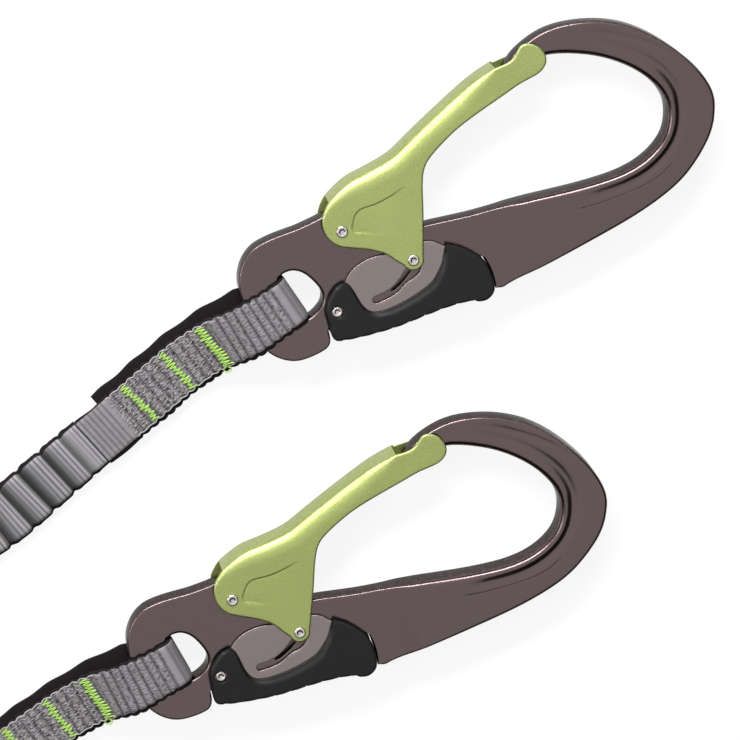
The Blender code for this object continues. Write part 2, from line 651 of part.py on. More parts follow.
def make_end_loop(name, parent):
    """Webbing sewn round the frame's bar, drawn in where it passes the eye."""
    outer, inner, line, length = loop_sides()

    def widths(distance):
        share = np.clip(distance / (2 * webbing_width), 0, 1)
        return loop_waist_width + (webbing_width - loop_waist_width) * share

    def skew(distance):
        return loop_skew * np.clip(distance / webbing_width, 0, 1)
    piece(name, band(outer, inner, line, widths, skew), "webbing", parent)


def place_connector(which):
    """Stand a connector's frame of reference where its sewn loop meets its arm."""
    line = smooth(plan(loop_line_share), 6)
    ahead = (line[-1] - line[-2]) / np.linalg.norm(line[-1] - line[-2])
    end = line[-1] + ahead * running_gap
    turn = connector_turns[which]
    start = arm_routes[which][0]
    base = bpy.data.objects.new("connector_" + which, None)
    bpy.context.scene.collection.objects.link(base)
    c, s = math.cos(turn), math.sin(turn)
    base.location = (start[0] - end[0] * c + end[1] * s, start[1] - end[0] * s - end[1] * c, middle_height)
    base.rotation_euler = (0, 0, turn)
    return base


def pivot_empty(name, parent, place):
    """An empty on a joint's axis, which carries what turns on it."""
    made = bpy.data.objects.new(name, None)
    bpy.context.scene.collection.objects.link(made)
    made.parent = parent
    made.location = (*place, 0)
    return made


def make_connector(which):
    """One connector with its gate, palm lever, rivets, springs and sewn loop."""
    base = place_connector(which)
    lever_pivot = plan(lever_pivot_share)
    gate_axis = pivot_empty("gate_axis_" + which, base, (0, 0))
    lever_axis = pivot_empty("lever_axis_" + which, base, lever_pivot)
    make_frame("frame_" + which, base)
    make_gate("gate_" + which, gate_axis)
    pivot = rivet(pivot_shank_radius, pivot_head_radius, head_inner, head_outer)
    piece("gate_pivot_rivet_" + which, lathe(pivot), "steel", base)
    pin = rivet(cam_pin_radius, cam_pin_head_radius, head_inner, head_outer)
    piece("gate_cam_pin_" + which, lathe(pin), "steel", gate_axis, (*plan(cam_pin_share), 0))
    make_lever_plate("lever_front_plate_" + which, lever_axis, 1)
    make_lever_plate("lever_back_plate_" + which, lever_axis, -1)
    make_grip("palm_grip_" + which, lever_axis)
    lever_rivet = rivet(lever_shank_radius, lever_head_radius, ear_inner, ear_inner + lever_plate_thickness)
    piece("lever_pivot_rivet_" + which, lathe(lever_rivet), "steel", base, (*lever_pivot, 0))
    clear_of_shank = running_gap + spring_strip_thickness / 2
    spiral_spring("gate_spring_" + which, base, pivot_shank_radius + clear_of_shank, gate_spring_radius,
                  -(frame_face + ear_inner) / 2)
    spring = spiral_spring("lever_spring_" + which, base, lever_shank_radius + clear_of_shank,
                           lever_spring_radius, spring_strip_height / 2 + running_gap - frame_face)
    spring.location = (*lever_pivot, 0)
    make_end_loop("end_loop_" + which, base)


def make_arm(which):
    """Elastic webbing, gathered in folds across its width, and wider away from its sewn ends."""
    route = smooth(arm_routes[which], 8)
    along = np.concatenate([[0], np.cumsum(np.linalg.norm(np.diff(route, axis=0), axis=1))])
    folds = int(along[-1] / gather_pitch)
    stations = np.linspace(0, along[-1], 2 * folds + 1)
    path = np.stack([np.interp(stations, along, column) for column in route.T], axis=1)
    waist = np.arange(len(path)) % 2
    waist[[0, -1]] = 0
    from_ends = np.minimum(stations, along[-1] - stations - arm_swell_length) / arm_swell_length
    widths = webbing_width + (arm_width - webbing_width) * np.clip(from_ends, 0, 1)
    widths = widths * np.where(waist, gather_width_share, 1)
    depths = np.where(waist, gather_waist_share, 1)
    deep = arm_thickness / 2
    section = ((0.5, 0), (0.43, deep), (-0.43, deep), (-0.5, 0), (-0.43, -deep), (0.43, -deep))
    piece("elastic_arm_" + which, sweep(path, section, widths, depths), "webbing")
    print("elastic arm", which, "length", round(float(along[-1]), 4), "m, folds", folds)


def pouch_ring(width, height, wall):
    """A rounded section with a flat underside, as (across, up) points."""
    across, up = width / 2 - wall, height - 2 * wall
    side_share = ((0.80, 0), (0.94, 0.06), (1, 0.22), (1, 0.55), (0.95, 0.80), (0.80, 0.94), (0.45, 1), (0, 1.03))
    right = [(x * across, wall + z * up) for x, z in side_share]
    left = [(-x, z) for x, z in right[-2::-1]]
    return np.array(right + left)


def make_pouch():
    """Fabric cover, open at both ends, fuller in its middle."""
    shell = Shell()
    stations = np.linspace(-0.5, 0.5, 9)
    rings = {0: [], pouch_wall: []}
    for wall in rings:
        for station in stations:
            fullness = pouch_end_share + (1 - pouch_end_share) * math.cos(math.pi * station)
            ring = pouch_ring(pouch_width * fullness, pouch_height * fullness, wall)
            start = len(shell.points)
            shell.points += [(x, station * pouch_length, z) for x, z in ring]
            rings[wall].append(list(range(start, len(shell.points))))
        for near, far in zip(rings[wall], rings[wall][1:]):
            shell.bridge(near, far)
    for end in (0, -1):
        shell.bridge(rings[0][end], rings[pouch_wall][end])
    piece("absorber_pouch", shell, "pouch")


def make_tear_webbing():
    """Webbing folded to and fro in the pouch, which rips apart layer by layer in a fall.

    Its lowest layer starts where the arms end, which are sewn to it.
    """
    pitch = tear_layer + tear_gap
    low = pouch_wall + running_gap + tear_layer / 2
    line = []
    for layer in range(tear_layers):
        ends = (tear_length / 2, -tear_length / 2)
        near, far = ends if layer % 2 == 0 else ends[::-1]
        if layer == 0:
            near = arm_route_upper[-1][1] - running_gap
        height = low + layer * pitch
        line += [(near, height), ((near + far) / 2, height), (far, height)]
        if layer < tear_layers - 1:
            turn = math.copysign(pitch / 2, far)
            line += [(far + turn, height + pitch / 2)]
    line = np.array(line)
    ahead = np.gradient(line, axis=0)
    ahead /= np.linalg.norm(ahead, axis=1)[:, None]
    side = np.stack([-ahead[:, 1], ahead[:, 0]], axis=1) * tear_layer / 2
    loop = np.vstack([line + side, (line - side)[::-1]])
    shell = Shell()
    rings = []
    for across in (-tear_width / 2, tear_width / 2):
        start = len(shell.points)
        shell.points += [(across, y, z) for y, z in loop]
        rings.append(list(range(start, len(shell.points))))
    for triangle in fill([loop]):
        shell.faces.append([rings[0][i] for i in triangle])
        shell.faces.append([rings[1][i] for i in triangle][::-1])
    shell.bridge(*rings)
    piece("tear_webbing", shell, "webbing")


def make_tie_in_loop():
    """Loop for the harness, sewn to the torn webbing's far end inside the pouch."""
    start = tear_end + running_gap
    low, high = arm_lift, tie_in_height
    lift = pouch_wall + running_gap
    share = ((0, lift), (0.17, lift), (0.30, low), (0.88, low), (0.97, high * 0.22), (1, high * 0.5),
             (0.97, high * 0.78), (0.88, high), (0.60, high * 0.95), (0.30, high * 0.72),
             (0.17, lift + 2.2 * webbing_layer), (0, lift + 2.2 * webbing_layer))
    outer = np.array([(x * tie_in_length, z, 0) for x, z in share])
    layer = webbing_layer
    inner = np.array([(x * tie_in_length, z, 0) for x, z in (
        (0.24, lift + layer), (0.32, low + layer), (0.86, low + layer), (0.94, high * 0.33), (0.965, high * 0.5),
        (0.94, high * 0.67), (0.86, high - layer), (0.60, high * 0.95 - layer), (0.32, high * 0.72 - layer))])
    line = np.array([(0, -start), (0, -start - tie_in_length)])
    piece("tie_in_loop", band(outer, inner, line, lambda d: np.full(len(d), tie_in_width)), "webbing")


def main():
    """Clear the scene and build the lanyard."""
    for old in list(bpy.data.objects):
        bpy.data.objects.remove(old)
    for which in ("upper", "lower"):
        make_connector(which)
        make_arm(which)
    make_pouch()
    make_tear_webbing()
    make_tie_in_loop()


main()
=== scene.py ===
# %% [markdown]
# Via ferrata lanyard. Two hook-shaped connectors hang on elastic webbing arms, which meet in the pouch of
# an energy absorber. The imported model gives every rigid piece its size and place, and this file gives each
# its skin: rounded edges, flutes, ribs, weave, thread and finish. Each cell explains one piece before it
# makes it.

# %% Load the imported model
import json
import math

import bmesh
import bpy
import numpy as np
from mathutils import Matrix, Vector
from mathutils.geometry import delaunay_2d_cdt


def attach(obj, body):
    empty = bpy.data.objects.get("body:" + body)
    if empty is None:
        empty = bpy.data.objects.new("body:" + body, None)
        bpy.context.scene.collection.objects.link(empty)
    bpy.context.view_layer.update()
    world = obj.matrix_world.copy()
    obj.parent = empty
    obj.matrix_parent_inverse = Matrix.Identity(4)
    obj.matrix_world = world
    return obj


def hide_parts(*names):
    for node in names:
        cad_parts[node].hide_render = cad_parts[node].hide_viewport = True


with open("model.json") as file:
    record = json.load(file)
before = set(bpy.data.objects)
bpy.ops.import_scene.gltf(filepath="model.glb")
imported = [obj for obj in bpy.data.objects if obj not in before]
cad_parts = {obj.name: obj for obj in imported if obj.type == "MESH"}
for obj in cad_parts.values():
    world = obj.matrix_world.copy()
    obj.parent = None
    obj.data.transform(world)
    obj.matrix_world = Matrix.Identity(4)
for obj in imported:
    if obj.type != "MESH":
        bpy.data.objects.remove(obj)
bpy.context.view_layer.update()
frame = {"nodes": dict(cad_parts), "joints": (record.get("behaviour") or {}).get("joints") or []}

mm = 0.001

# %% [markdown]
# The camera. The photo looks almost straight down with a long lens, and leans a little towards the top of
# the picture. The model's X axis is the mean direction of the two hooks, which rises 15.2 degrees across
# the photo, so the photo's own directions are turned back by that angle here.

# %% Camera
def put(name, data):
    """An object of the data, linked into the scene at the origin."""
    made = bpy.data.objects.new(name, data)
    bpy.context.scene.collection.objects.link(made)
    return made


photo_turn = math.radians(-15.219)
photo_directions = Matrix.Rotation(photo_turn, 3, "Z")
photo_lean = Vector((-0.1402, 0.2600, 1.0))
look_at = Vector((341.5, 91.0, 7.5)) * mm
camera_distance = 1.361
nearest, farthest = 0.05, 20.0
picture_size = 740
sensor_width = 36.0
focal_in_pixels = 3945.0

back = (photo_directions @ photo_lean).normalized()
right = (photo_directions @ Vector((0.0, 1.0, 0.0))).cross(back).normalized()
camera_data = bpy.data.cameras.new("camera")
camera_data.sensor_width = sensor_width
camera_data.lens = focal_in_pixels * sensor_width / picture_size
camera_data.clip_start, camera_data.clip_end = nearest, farthest
camera = put("camera", camera_data)
camera.matrix_world = Matrix.Translation(look_at + back * camera_distance) @ Matrix(
    (right, back.cross(right), back)).transposed().to_4x4()
bpy.context.scene.camera = camera
bpy.context.scene.view_settings.view_transform = "Standard"
print("lens", round(camera_data.lens, 1), "mm")

# %% [markdown]
# Shader sums are written as plain expressions. Wire wraps one socket, and adding or multiplying wires adds
# the Math nodes that do it. Any other node comes from Finish.node, which takes its settings and its inputs.

# %% Wires and finishes
class Wire:
    """One output socket in a material, ready for sums."""

    def __init__(self, finish, socket):
        self.finish, self.socket = finish, socket

    def sum_with(self, operation, a, b=None):
        inputs = {0: a} if b is None else {0: a, 1: b}
        return self.finish.node("ShaderNodeMath", {"operation": operation}, inputs)

    def __add__(self, other): return self.sum_with("ADD", self, other)
    def __radd__(self, other): return self.sum_with("ADD", other, self)
    def __sub__(self, other): return self.sum_with("SUBTRACT", self, other)
    def __rsub__(self, other): return self.sum_with("SUBTRACT", other, self)
    def __mul__(self, other): return self.sum_with("MULTIPLY", self, other)
    def __rmul__(self, other): return self.sum_with("MULTIPLY", other, self)
    def __pow__(self, other): return self.sum_with("POWER", self, other)

    def wave(self, pitch):
        """Sine that comes back after each pitch."""
        return self.sum_with("SINE", self * (2 * math.pi / pitch))


class Finish:
    """A material under construction: nodes are added by type, settings and inputs."""

    def __init__(self, name, **plain):
        self.material = bpy.data.materials.new(name)
        self.material.use_nodes = True
        self.tree = self.material.node_tree
        self.shader = self.tree.nodes["Principled BSDF"]
        self.set(**plain)

    def plug(self, socket, value):
        if isinstance(value, Wire):
            self.tree.links.new(value.socket, socket)
        else:
            socket.default_value = value

    def set(self, **values):
        """Set sockets of the surface shader, with underscores for the blanks in their names."""
        for name, value in values.items():
            self.plug(self.shader.inputs[name.replace("_", " ")], value)

    def node(self, kind, settings=None, inputs=None, output=0):
        made = self.tree.nodes.new(kind)
        for name, value in (settings or {}).items():
            if name == "stops":
                ramp = made.color_ramp.elements
                while len(ramp) < len(value):
                    ramp.new(0.5)
                for element, (place, level) in zip(ramp, value):
                    element.position, element.color = place, (level, level, level, 1)
            else:
                setattr(made, name, value)
        for name, value in (inputs or {}).items():
            self.plug(made.inputs[name], value)
        return Wire(self, made.outputs[output])

    def attribute(self, name):
        return self.node("ShaderNodeAttribute", {"attribute_name": name}, output="Fac")

    def noise(self, scale, detail=2.0, roughness=0.5, at=None):
        at = at or self.node("ShaderNodeTexCoord", output="Object")
        return self.node("ShaderNodeTexNoise", {"normalize": True}, {
            "Vector": at, "Scale": scale, "Detail": detail, "Roughness": roughness})

    def steps(self, value, stops):
        return self.node("ShaderNodeValToRGB", {"stops": stops}, {"Fac": value})

    def mix(self, factor, a, b):
        """Colour a where the factor is 0, and b where it is 1."""
        made = self.tree.nodes.new("ShaderNodeMix")
        made.data_type = "RGBA"
        for name, value in (("Factor_Float", factor), ("A_Color", a), ("B_Color", b)):
            self.plug(next(s for s in made.inputs if s.identifier == name), value)
        return Wire(self, next(s for s in made.outputs if s.identifier == "Result_Color"))

    def bump(self, height, distance, strength):
        self.set(Normal=self.node("ShaderNodeBump", {}, {"Height": height, "Distance": distance,
                                                         "Strength": strength}))


def srgb(red, green, blue):
    """A colour of the photo, 0 to 255, as the linear light that a shader takes."""
    share = np.array([red, green, blue]) / 255
    return (*np.where(share < 0.04045, share / 12.92, ((share + 0.055) / 1.055) ** 2.4), 1.0)


def toned(colour, factor):
    """A colour made darker or paler by a factor."""
    return (*(min(1.0, value * factor) for value in colour[:3]), 1.0)


# %% [markdown]
# Metal parts. Anodised aluminium keeps the grain of its blasted surface under a thin coloured film. The film
# wears first along edges, so each metal piece carries an attribute called rim, which is 1 on its walls and
# fades to 0 within a millimetre of them. The same attribute also paints shade onto the frame's walls, so that
# they show darker than the faces. One finish with other numbers serves the frame, the gate and the steel.

# %% Metal finishes
def metal(name, colour, worn, roughness, grain, grain_depth, blotch, wall=0.0, edge_tint=1.0, coat=0.0):
    """Metal with a fine grain, a faint cloudiness, worn rims, and painted shade that can make the walls
    darker than the faces.
    """
    finish = Finish(name, Metallic=1.0, Specular_Tint=(edge_tint, edge_tint, edge_tint, 1),
                    Coat_Weight=coat, Coat_Roughness=0.16)
    rim = finish.attribute("rim")
    speck = finish.noise(grain, detail=3.0, roughness=0.6)
    cloud = finish.noise(60.0)
    fleck = finish.steps(speck, ((0.36, 0.0), (0.64, 1.0)))
    base = finish.mix(cloud * 0.5 + fleck * 0.5, toned(colour, 1 - blotch), toned(colour, 1 + blotch))
    # painted shade on the walls: where rim is near 1 the colour goes towards a fifth of itself, by the share
    # wall
    if wall:
        painted_wall_shade = finish.steps(rim, ((0.90, 0.0), (0.99, 1.0)))
        base = finish.mix(painted_wall_shade * wall, base, toned(colour, 0.2))
    wear = rim * finish.steps(finish.noise(700.0, detail=4.0), ((0.45, 0.0), (0.62, 1.0)))
    finish.set(Base_Color=finish.mix(wear * 0.25, base, worn),
               Roughness=roughness + (speck - 0.5) * 0.16 + (cloud - 0.5) * 0.08)
    finish.bump(speck, grain_depth, 0.6)
    return finish.material


# wall=0.35: painted shade on the frame's walls
frame_metal = metal("frame_metal", srgb(98, 83, 84), worn=srgb(150, 138, 136), roughness=0.26, grain=2600.0,
                    grain_depth=0.01 * mm, blotch=0.03, wall=0.35, edge_tint=0.25, coat=0.3)
gate_metal = metal("gate_metal", srgb(171, 183, 112), worn=srgb(206, 216, 160), roughness=0.42,
                   grain=1700.0, grain_depth=0.13 * mm, blotch=0.16, edge_tint=0.8, coat=0.15)
plate_metal = metal("plate_metal", srgb(143, 131, 130), worn=srgb(186, 178, 176), roughness=0.36,
                    grain=1800.0, grain_depth=0.03 * mm, blotch=0.06)
rivet_metal = metal("rivet_metal", srgb(196, 190, 188), worn=srgb(230, 228, 225), roughness=0.22,
                    grain=1500.0, grain_depth=0.02 * mm, blotch=0.05)
spring_metal = metal("spring_metal", srgb(170, 168, 165), worn=srgb(210, 208, 205), roughness=0.30,
                     grain=1500.0, grain_depth=0.02 * mm, blotch=0.05)

# %% [markdown]
# Moulded grip. It is a hard rubbery plastic with a fine spark texture from the mould, nearly black, which
# shines softly on its edges. Two noises, one fine and one coarse, stand for that texture. Its rims are also
# painted a little paler, a painted highlight of that shine.

# %% Grip finish
def moulded(name, colour, roughness):
    """Black moulding with a spark-eroded texture and a painted highlight on its rims."""
    finish = Finish(name, Metallic=0.0, Specular_IOR_Level=0.28)
    spark = finish.noise(3200.0, roughness=0.7)
    # painted highlight: the rims are painted paler, plus coarse random patches of paler tone; both are a
    # little smoother too
    edge_sheen_and_mottle = finish.attribute("rim") * 0.35 + finish.noise(90.0) * 0.3
    finish.set(Base_Color=finish.mix(edge_sheen_and_mottle, colour, toned(colour, 1.5)),
               Roughness=roughness - edge_sheen_and_mottle * 0.2 + spark * 0.1)
    finish.bump(spark, 0.04 * mm, 0.7)
    return finish.material


grip_plastic = moulded("grip_plastic", srgb(20, 19, 20), roughness=0.42)
print(len(bpy.data.materials), "finishes so far")

# %% [markdown]
# Surfaces. A piece is either a grid, which is a function of two parameters, or a plate, which is a plan
# outline with a height at every point of its faces. Both are worked out as whole arrays and then handed to
# a mesh.

# %% Meshes and pieces
pieces = {}


def closed_mesh(name, points, faces):
    """A mesh with its normals outwards."""
    mesh = bpy.data.meshes.new(name)
    mesh.from_pydata(np.asarray(points).tolist(), [], [list(map(int, face)) for face in faces])
    work = bmesh.new()
    work.from_mesh(mesh)
    bmesh.ops.recalc_face_normals(work, faces=work.faces)
    work.to_mesh(mesh)
    work.free()
    return mesh


def dress(name, mesh, finish, body, slot, nodes=(), smooth_angle=40, **attributes):
    """Make a piece of a mesh: its shading, attributes, finish, body and the nodes it replaces."""
    for key, values in attributes.items():
        layer = mesh.attributes.new(key, "FLOAT", "POINT")
        layer.data.foreach_set("value", np.asarray(values, np.float32).ravel())
    mesh.shade_smooth()
    mesh.set_sharp_from_angle(angle=math.radians(smooth_angle))
    mesh.materials.append(finish)
    made = put(name, mesh)
    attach(made, body)
    if nodes:
        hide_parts(*nodes)
    pieces[name] = made
    return made


def carve(mesh, cutters):
    """The mesh that is left when closed bodies are taken away from another."""
    target = put("target", mesh)
    for points, faces, _ in cutters:
        tool = put("tool", closed_mesh("tool", points, faces))
        step = target.modifiers.new("carve", "BOOLEAN")
        step.operation, step.object, step.solver = "DIFFERENCE", tool, "EXACT"
        ready = target.evaluated_get(bpy.context.evaluated_depsgraph_get())
        left = bpy.data.meshes.new_from_object(ready)
        target.modifiers.clear()
        target.data = left
        bpy.data.objects.remove(tool)
    bpy.data.objects.remove(target)
    return left


def grid_faces(rows, columns, close_columns=False, start=0):
    """Four-sided faces of a grid of points, whose columns may join up round."""
    i = np.arange(rows - 1)[:, None]
    j = np.arange(columns if close_columns else columns - 1)[None, :]
    i2, j2 = i + 1, (j + 1) % columns
    quads = np.stack(np.broadcast_arrays(i * columns + j, i * columns + j2,
                                         i2 * columns + j2, i2 * columns + j), axis=-1)
    return (quads.reshape(-1, 4) + start).tolist()


def end_caps(rows, columns, start=0):
    """The first and the last row of a closed grid as two faces."""
    first, last = start, start + (rows - 1) * columns
    return [list(range(first, first + columns)), list(range(last, last + columns))]


# %% [markdown]
# Lines. Outlines, flutes, folds and routes are all lines of points. A curve is drawn through a few of them,
# and then its points are spread at an even pitch. Smooth steps, dips and windows along a line give it its
# relief.

# %% Lines
def unit(steps):
    """Steps scaled to a length of 1."""
    return steps / np.maximum(np.linalg.norm(steps, axis=1), 1e-12)[:, None]


def run_along(line):
    """How far along a line each of its points lies."""
    return np.concatenate([[0], np.cumsum(np.linalg.norm(np.diff(line, axis=0), axis=1))])


def read_at(places, along, line):
    """The points of a line at some places, where its own points lie along."""
    return np.stack([np.interp(places, along, column) for column in line.T], axis=-1)


def resample(points, pitch):
    """The same line with its points a pitch apart, read along its length."""
    along = run_along(points)
    return read_at(np.linspace(0, along[-1], max(2, int(round(along[-1] / pitch)) + 1)), along, points)


def smooth(points, steps):
    """Catmull-Rom curve: each span leaves and reaches its ends in the direction of their neighbours."""
    p = np.array(points, float)
    p = np.vstack([2 * p[0] - p[1], p, 2 * p[-1] - p[-2]])
    t = np.linspace(0, 1, steps, endpoint=False)[:, None]
    spans = [b + (c - a) * t / 2 + (2 * a - 5 * b + 4 * c - d) * t**2 / 2 + (3 * (b - c) + d - a) * t**3 / 2
             for a, b, c, d in zip(p, p[1:], p[2:], p[3:])]
    return np.vstack(spans + [p[-2:-1]])


def drawn(points, steps=6):
    """A smooth curve through points given in millimetres."""
    return smooth(np.array(points) * mm, steps)


def directions(line):
    """Unit steps along a line."""
    return unit(np.gradient(line, axis=0))


def left_of(ahead):
    """The plan directions to the left of others."""
    return np.stack([-ahead[:, 1], ahead[:, 0]], axis=1)


def calmed(values, reach):
    """Moving mean over a number of neighbours on each side."""
    return np.convolve(np.pad(values, reach, mode="edge"), np.ones(2 * reach + 1) / (2 * reach + 1),
                       mode="valid")


def ease(share):
    """A smooth step from 0 to 1."""
    share = np.clip(share, 0, 1)
    return share * share * (3 - 2 * share)


def between(place, start, stop, fade_in, fade_out):
    """1 from start to stop, after a smooth step up and before one down."""
    return ease((place - start) / fade_in) * ease((stop - place) / fade_out)


def dip(away, width):
    """1 on a line, fading to 0 on both sides: exp(-(distance / width)^2)."""
    return np.exp(-(away / width) ** 2)


def arc(centre, radius, angle):
    """Points of a circle at some angles."""
    return np.array(centre) + radius * np.stack([np.cos(angle), np.sin(angle)], axis=1)


def circle(centre, radius, steps=40):
    return arc(centre, radius, np.linspace(0, 2 * math.pi, steps, endpoint=False))


# %% [markdown]
# Places. Each connector has its own plan: x runs from the gate's pivot along the hook, y towards the gate,
# and z out of its front face. The two joints' positions in the record fix that plan, so nothing has to be
# measured.

# %% Connector plans
lever_pivot = np.array([-10.15, -26.25]) * mm
joints = {joint["name"]: joint for joint in frame["joints"]}


class Plan:
    """A connector's own plan, and the way from it to the model and back."""

    def __init__(self, which):
        self.which = which
        self.origin = np.array(joints["gate_swing_" + which]["pos_m"])
        reach = np.array(joints["lever_squeeze_" + which]["pos_m"]) - self.origin
        self.turn = math.atan2(reach[1], reach[0]) - math.atan2(lever_pivot[1], lever_pivot[0])
        c, s = math.cos(self.turn), math.sin(self.turn)
        self.spin = np.array([[c, -s, 0], [s, c, 0], [0, 0, 1]])

    def world(self, points):
        return np.asarray(points) @ self.spin.T + self.origin

    def local(self, points):
        return (np.asarray(points) - self.origin) @ self.spin


plans = {which: Plan(which) for which in ("upper", "lower")}


def make_pair(name, shape, finish, body, slot, cutters=()):
    """Make a shape of the connector's plan once, carve it, and set it in both connectors."""
    points, faces, rim = shape
    mesh = closed_mesh(name, points, faces)
    mesh.attributes.new("rim", "FLOAT", "POINT").data.foreach_set("value", np.asarray(rim, np.float32))
    if cutters:
        mesh = carve(mesh, cutters)
    for which, plan in plans.items():
        twin = mesh.copy()
        twin.transform(Matrix.Translation(plan.origin) @ Matrix.Rotation(plan.turn, 4, "Z"))
        dress(f"{name}_skin_{which}", twin, finish, body.format(which), slot, [f"{name}_{which}"])
    print(name, len(mesh.polygons), "faces each")


def levels(low, high):
    """Top and bottom of a plate with two level faces."""
    return lambda p: np.full(len(p), high), lambda p: np.full(len(p), low)


print("connectors turned by", {k: round(math.degrees(p.turn), 2) for k, p in plans.items()}, "degrees")

# %% [markdown]
# Outlines. The plan of the frame, the lever plates and the grip is read from their CAD nodes: the walls are
# each node's upright faces, and the top edges of the walls, followed round, are its outline and its holes. A
# finer curve is then drawn through their points, broken only at real corners.

# %% Outlines from the CAD nodes
def wall_loops(node, below_top=None, upright=0.35):
    """Closed outlines where a node's upright walls end, in its plan and largest first."""
    work = bmesh.new()
    work.from_mesh(frame["nodes"][node].data)
    bmesh.ops.remove_doubles(work, verts=work.verts, dist=2e-6)
    heights = [v.co.z for v in work.verts]
    floor = (max(heights) + min(heights)) / 2 if below_top is None else max(heights) - below_top
    ahead = {}
    for edge in work.edges:
        walls = [abs(face.normal.z) < upright for face in edge.link_faces]
        if len(walls) == 2 and walls[0] != walls[1] and min(v.co.z for v in edge.verts) > floor:
            a, b = (v.index for v in edge.verts)
            ahead.setdefault(a, []).append(b)
            ahead.setdefault(b, []).append(a)
    work.verts.ensure_lookup_table()
    loops = []
    while ahead:
        start = next(iter(ahead))
        loop, last, here = [start], None, start
        while True:
            onward = [n for n in ahead[here] if n != last]
            last, here = here, onward[0]
            if here == start:
                break
            loop.append(here)
        for index in loop:
            del ahead[index]
        loops.append(plans["upper"].local(np.array([work.verts[i].co for i in loop]))[:, :2])
    work.free()
    return sorted((wound(loop) for loop in loops), key=lambda loop: -signed_area(loop))


def signed_area(loop):
    """Area inside a loop, positive where it runs anticlockwise."""
    x, y = loop.T
    return (x * np.roll(y, -1) - y * np.roll(x, -1)).sum() / 2


def wound(loop, anticlockwise=True):
    return loop if (signed_area(loop) > 0) == anticlockwise else loop[::-1]


def turns(loop):
    """How sharply a closed loop turns at each of its points, in degrees."""
    ahead = np.roll(loop, -1, axis=0) - loop
    before = np.roll(ahead, 1, axis=0)
    across = before[:, 0] * ahead[:, 1] - before[:, 1] * ahead[:, 0]
    return np.degrees(np.abs(np.arctan2(across, (before * ahead).sum(axis=1))))


def refine(loop, pitch, corner=38, steps=8):
    """A finer closed curve through a loop's points, broken where it turns by more than the corner angle."""
    corners = np.flatnonzero(turns(loop) > corner)
    if len(corners) == 0:
        around = np.vstack([loop[-3:], loop, loop[:4]])
        curve = smooth(around, steps)[3 * steps:(3 + len(loop)) * steps + 1]
        return resample(curve, pitch)[:-1]
    runs = []
    for first, last in zip(corners, np.roll(corners, -1)):
        count = (last - first) % len(loop) or len(loop)
        run = loop[(first + np.arange(count + 1)) % len(loop)]
        runs.append(resample(smooth(run, steps), pitch)[:-1])
    return np.vstack(runs)


def inset(loop, reach):
    """The loop moved to the left of its own direction, by one reach or one for each point."""
    side = left_of(unit(np.roll(loop, -1, axis=0) - loop))
    both = unit(side + np.roll(side, 1, axis=0))
    return loop + both * (reach / np.clip((both * side).sum(axis=1), 0.7, 1))[:, None]


# %% [markdown]
# Faces. A height over the plan needs points all over a face, so a lattice of them is laid inside its
# outline, with extra rows where a fine feature runs. Blender's Delaunay function then joins them up. It
# does this as well as hand drawn faces would, and it takes holes as they come.

# %% Inside, beside and filled
def inside(points, loop):
    """Which points lie inside a loop: an odd number of its edges is crossed on the way out."""
    a, b = loop, np.roll(loop, -1, axis=0)
    x, y = points[:, :1], points[:, 1:]
    rise = np.where(b[:, 1] == a[:, 1], 1, b[:, 1] - a[:, 1])
    crosses = ((a[:, 1] > y) != (b[:, 1] > y)) & (x < a[:, 0] + (y - a[:, 1]) * (b[:, 0] - a[:, 0]) / rise)
    return crosses.sum(axis=1) % 2 == 1


def distance(points, line, closed=True):
    """Least distance from each point to a line of short straight pieces."""
    a = line if closed else line[:-1]
    b = np.roll(line, -1, axis=0) if closed else line[1:]
    best = np.full(len(points), np.inf)
    for part in np.array_split(np.arange(len(a)), max(1, len(a) // 64)):
        along, off = b[part] - a[part], points[:, None] - a[part]
        share = np.clip((off * along).sum(-1) / np.maximum((along**2).sum(-1), 1e-18), 0, 1)
        best = np.minimum(best, np.linalg.norm(off - along * share[..., None], axis=-1).min(axis=1))
    return best


def beside(points, line):
    """Distance from each point to a line, and how far along it, from 0 to 1, the nearest place is."""
    fine = resample(line, 0.25 * mm)
    best, where = np.full(len(points), np.inf), np.zeros(len(points))
    for part in np.array_split(np.arange(len(fine)), max(1, len(fine) // 48)):
        away = np.linalg.norm(points[:, None] - fine[part], axis=-1)
        nearest = away.argmin(axis=1)
        closest = away[np.arange(len(points)), nearest]
        better = closest < best
        best[better], where[better] = closest[better], part[nearest[better]] / (len(fine) - 1)
    return best, where


def fill(loops, extra):
    """Triangles between an outer loop and its holes through extra points, and all the points used."""
    points = np.vstack([*loops, extra])
    edges, start = [], 0
    for loop in loops:
        ring = start + np.arange(len(loop))
        edges += zip(ring.tolist(), np.roll(ring, -1).tolist())
        start += len(loop)
    unit_size = (points - points.min(axis=0)) / np.ptp(points, axis=0).max()
    found = delaunay_2d_cdt([Vector(p) for p in unit_size], edges, [], 0, 1e-9)
    origin = [sources[0] for sources in found[3]]
    triangles = np.array([[origin[i] for i in face] for face in found[2]])
    middles = points[triangles].mean(axis=1)
    keep = np.zeros(len(triangles), bool)
    for loop in loops:
        keep ^= inside(middles, loop)
    return triangles[keep]


lattice_row = 0.866     # distance between the rows of a triangular lattice of pitch 1


def dots(loops, pitch, margin):
    """Points of a triangular lattice inside an outline, clear of its edges and holes."""
    low, high = loops[0].min(axis=0), loops[0].max(axis=0)
    lattice = []
    for k, y in enumerate(np.arange(low[1], high[1], pitch * lattice_row)):
        x = np.arange(low[0] + (k % 2) * pitch / 2, high[0], pitch)
        lattice.append(np.column_stack([x, np.full(len(x), y)]))
    points = np.vstack(lattice)
    keep = inside(points, loops[0])
    for hole in loops[1:]:
        keep &= ~inside(points, hole)
    points = points[keep]
    return points[np.min([distance(points, loop) for loop in loops], axis=0) > margin]


# %% Plates
quarter = np.radians(np.linspace(0, 90, 7))


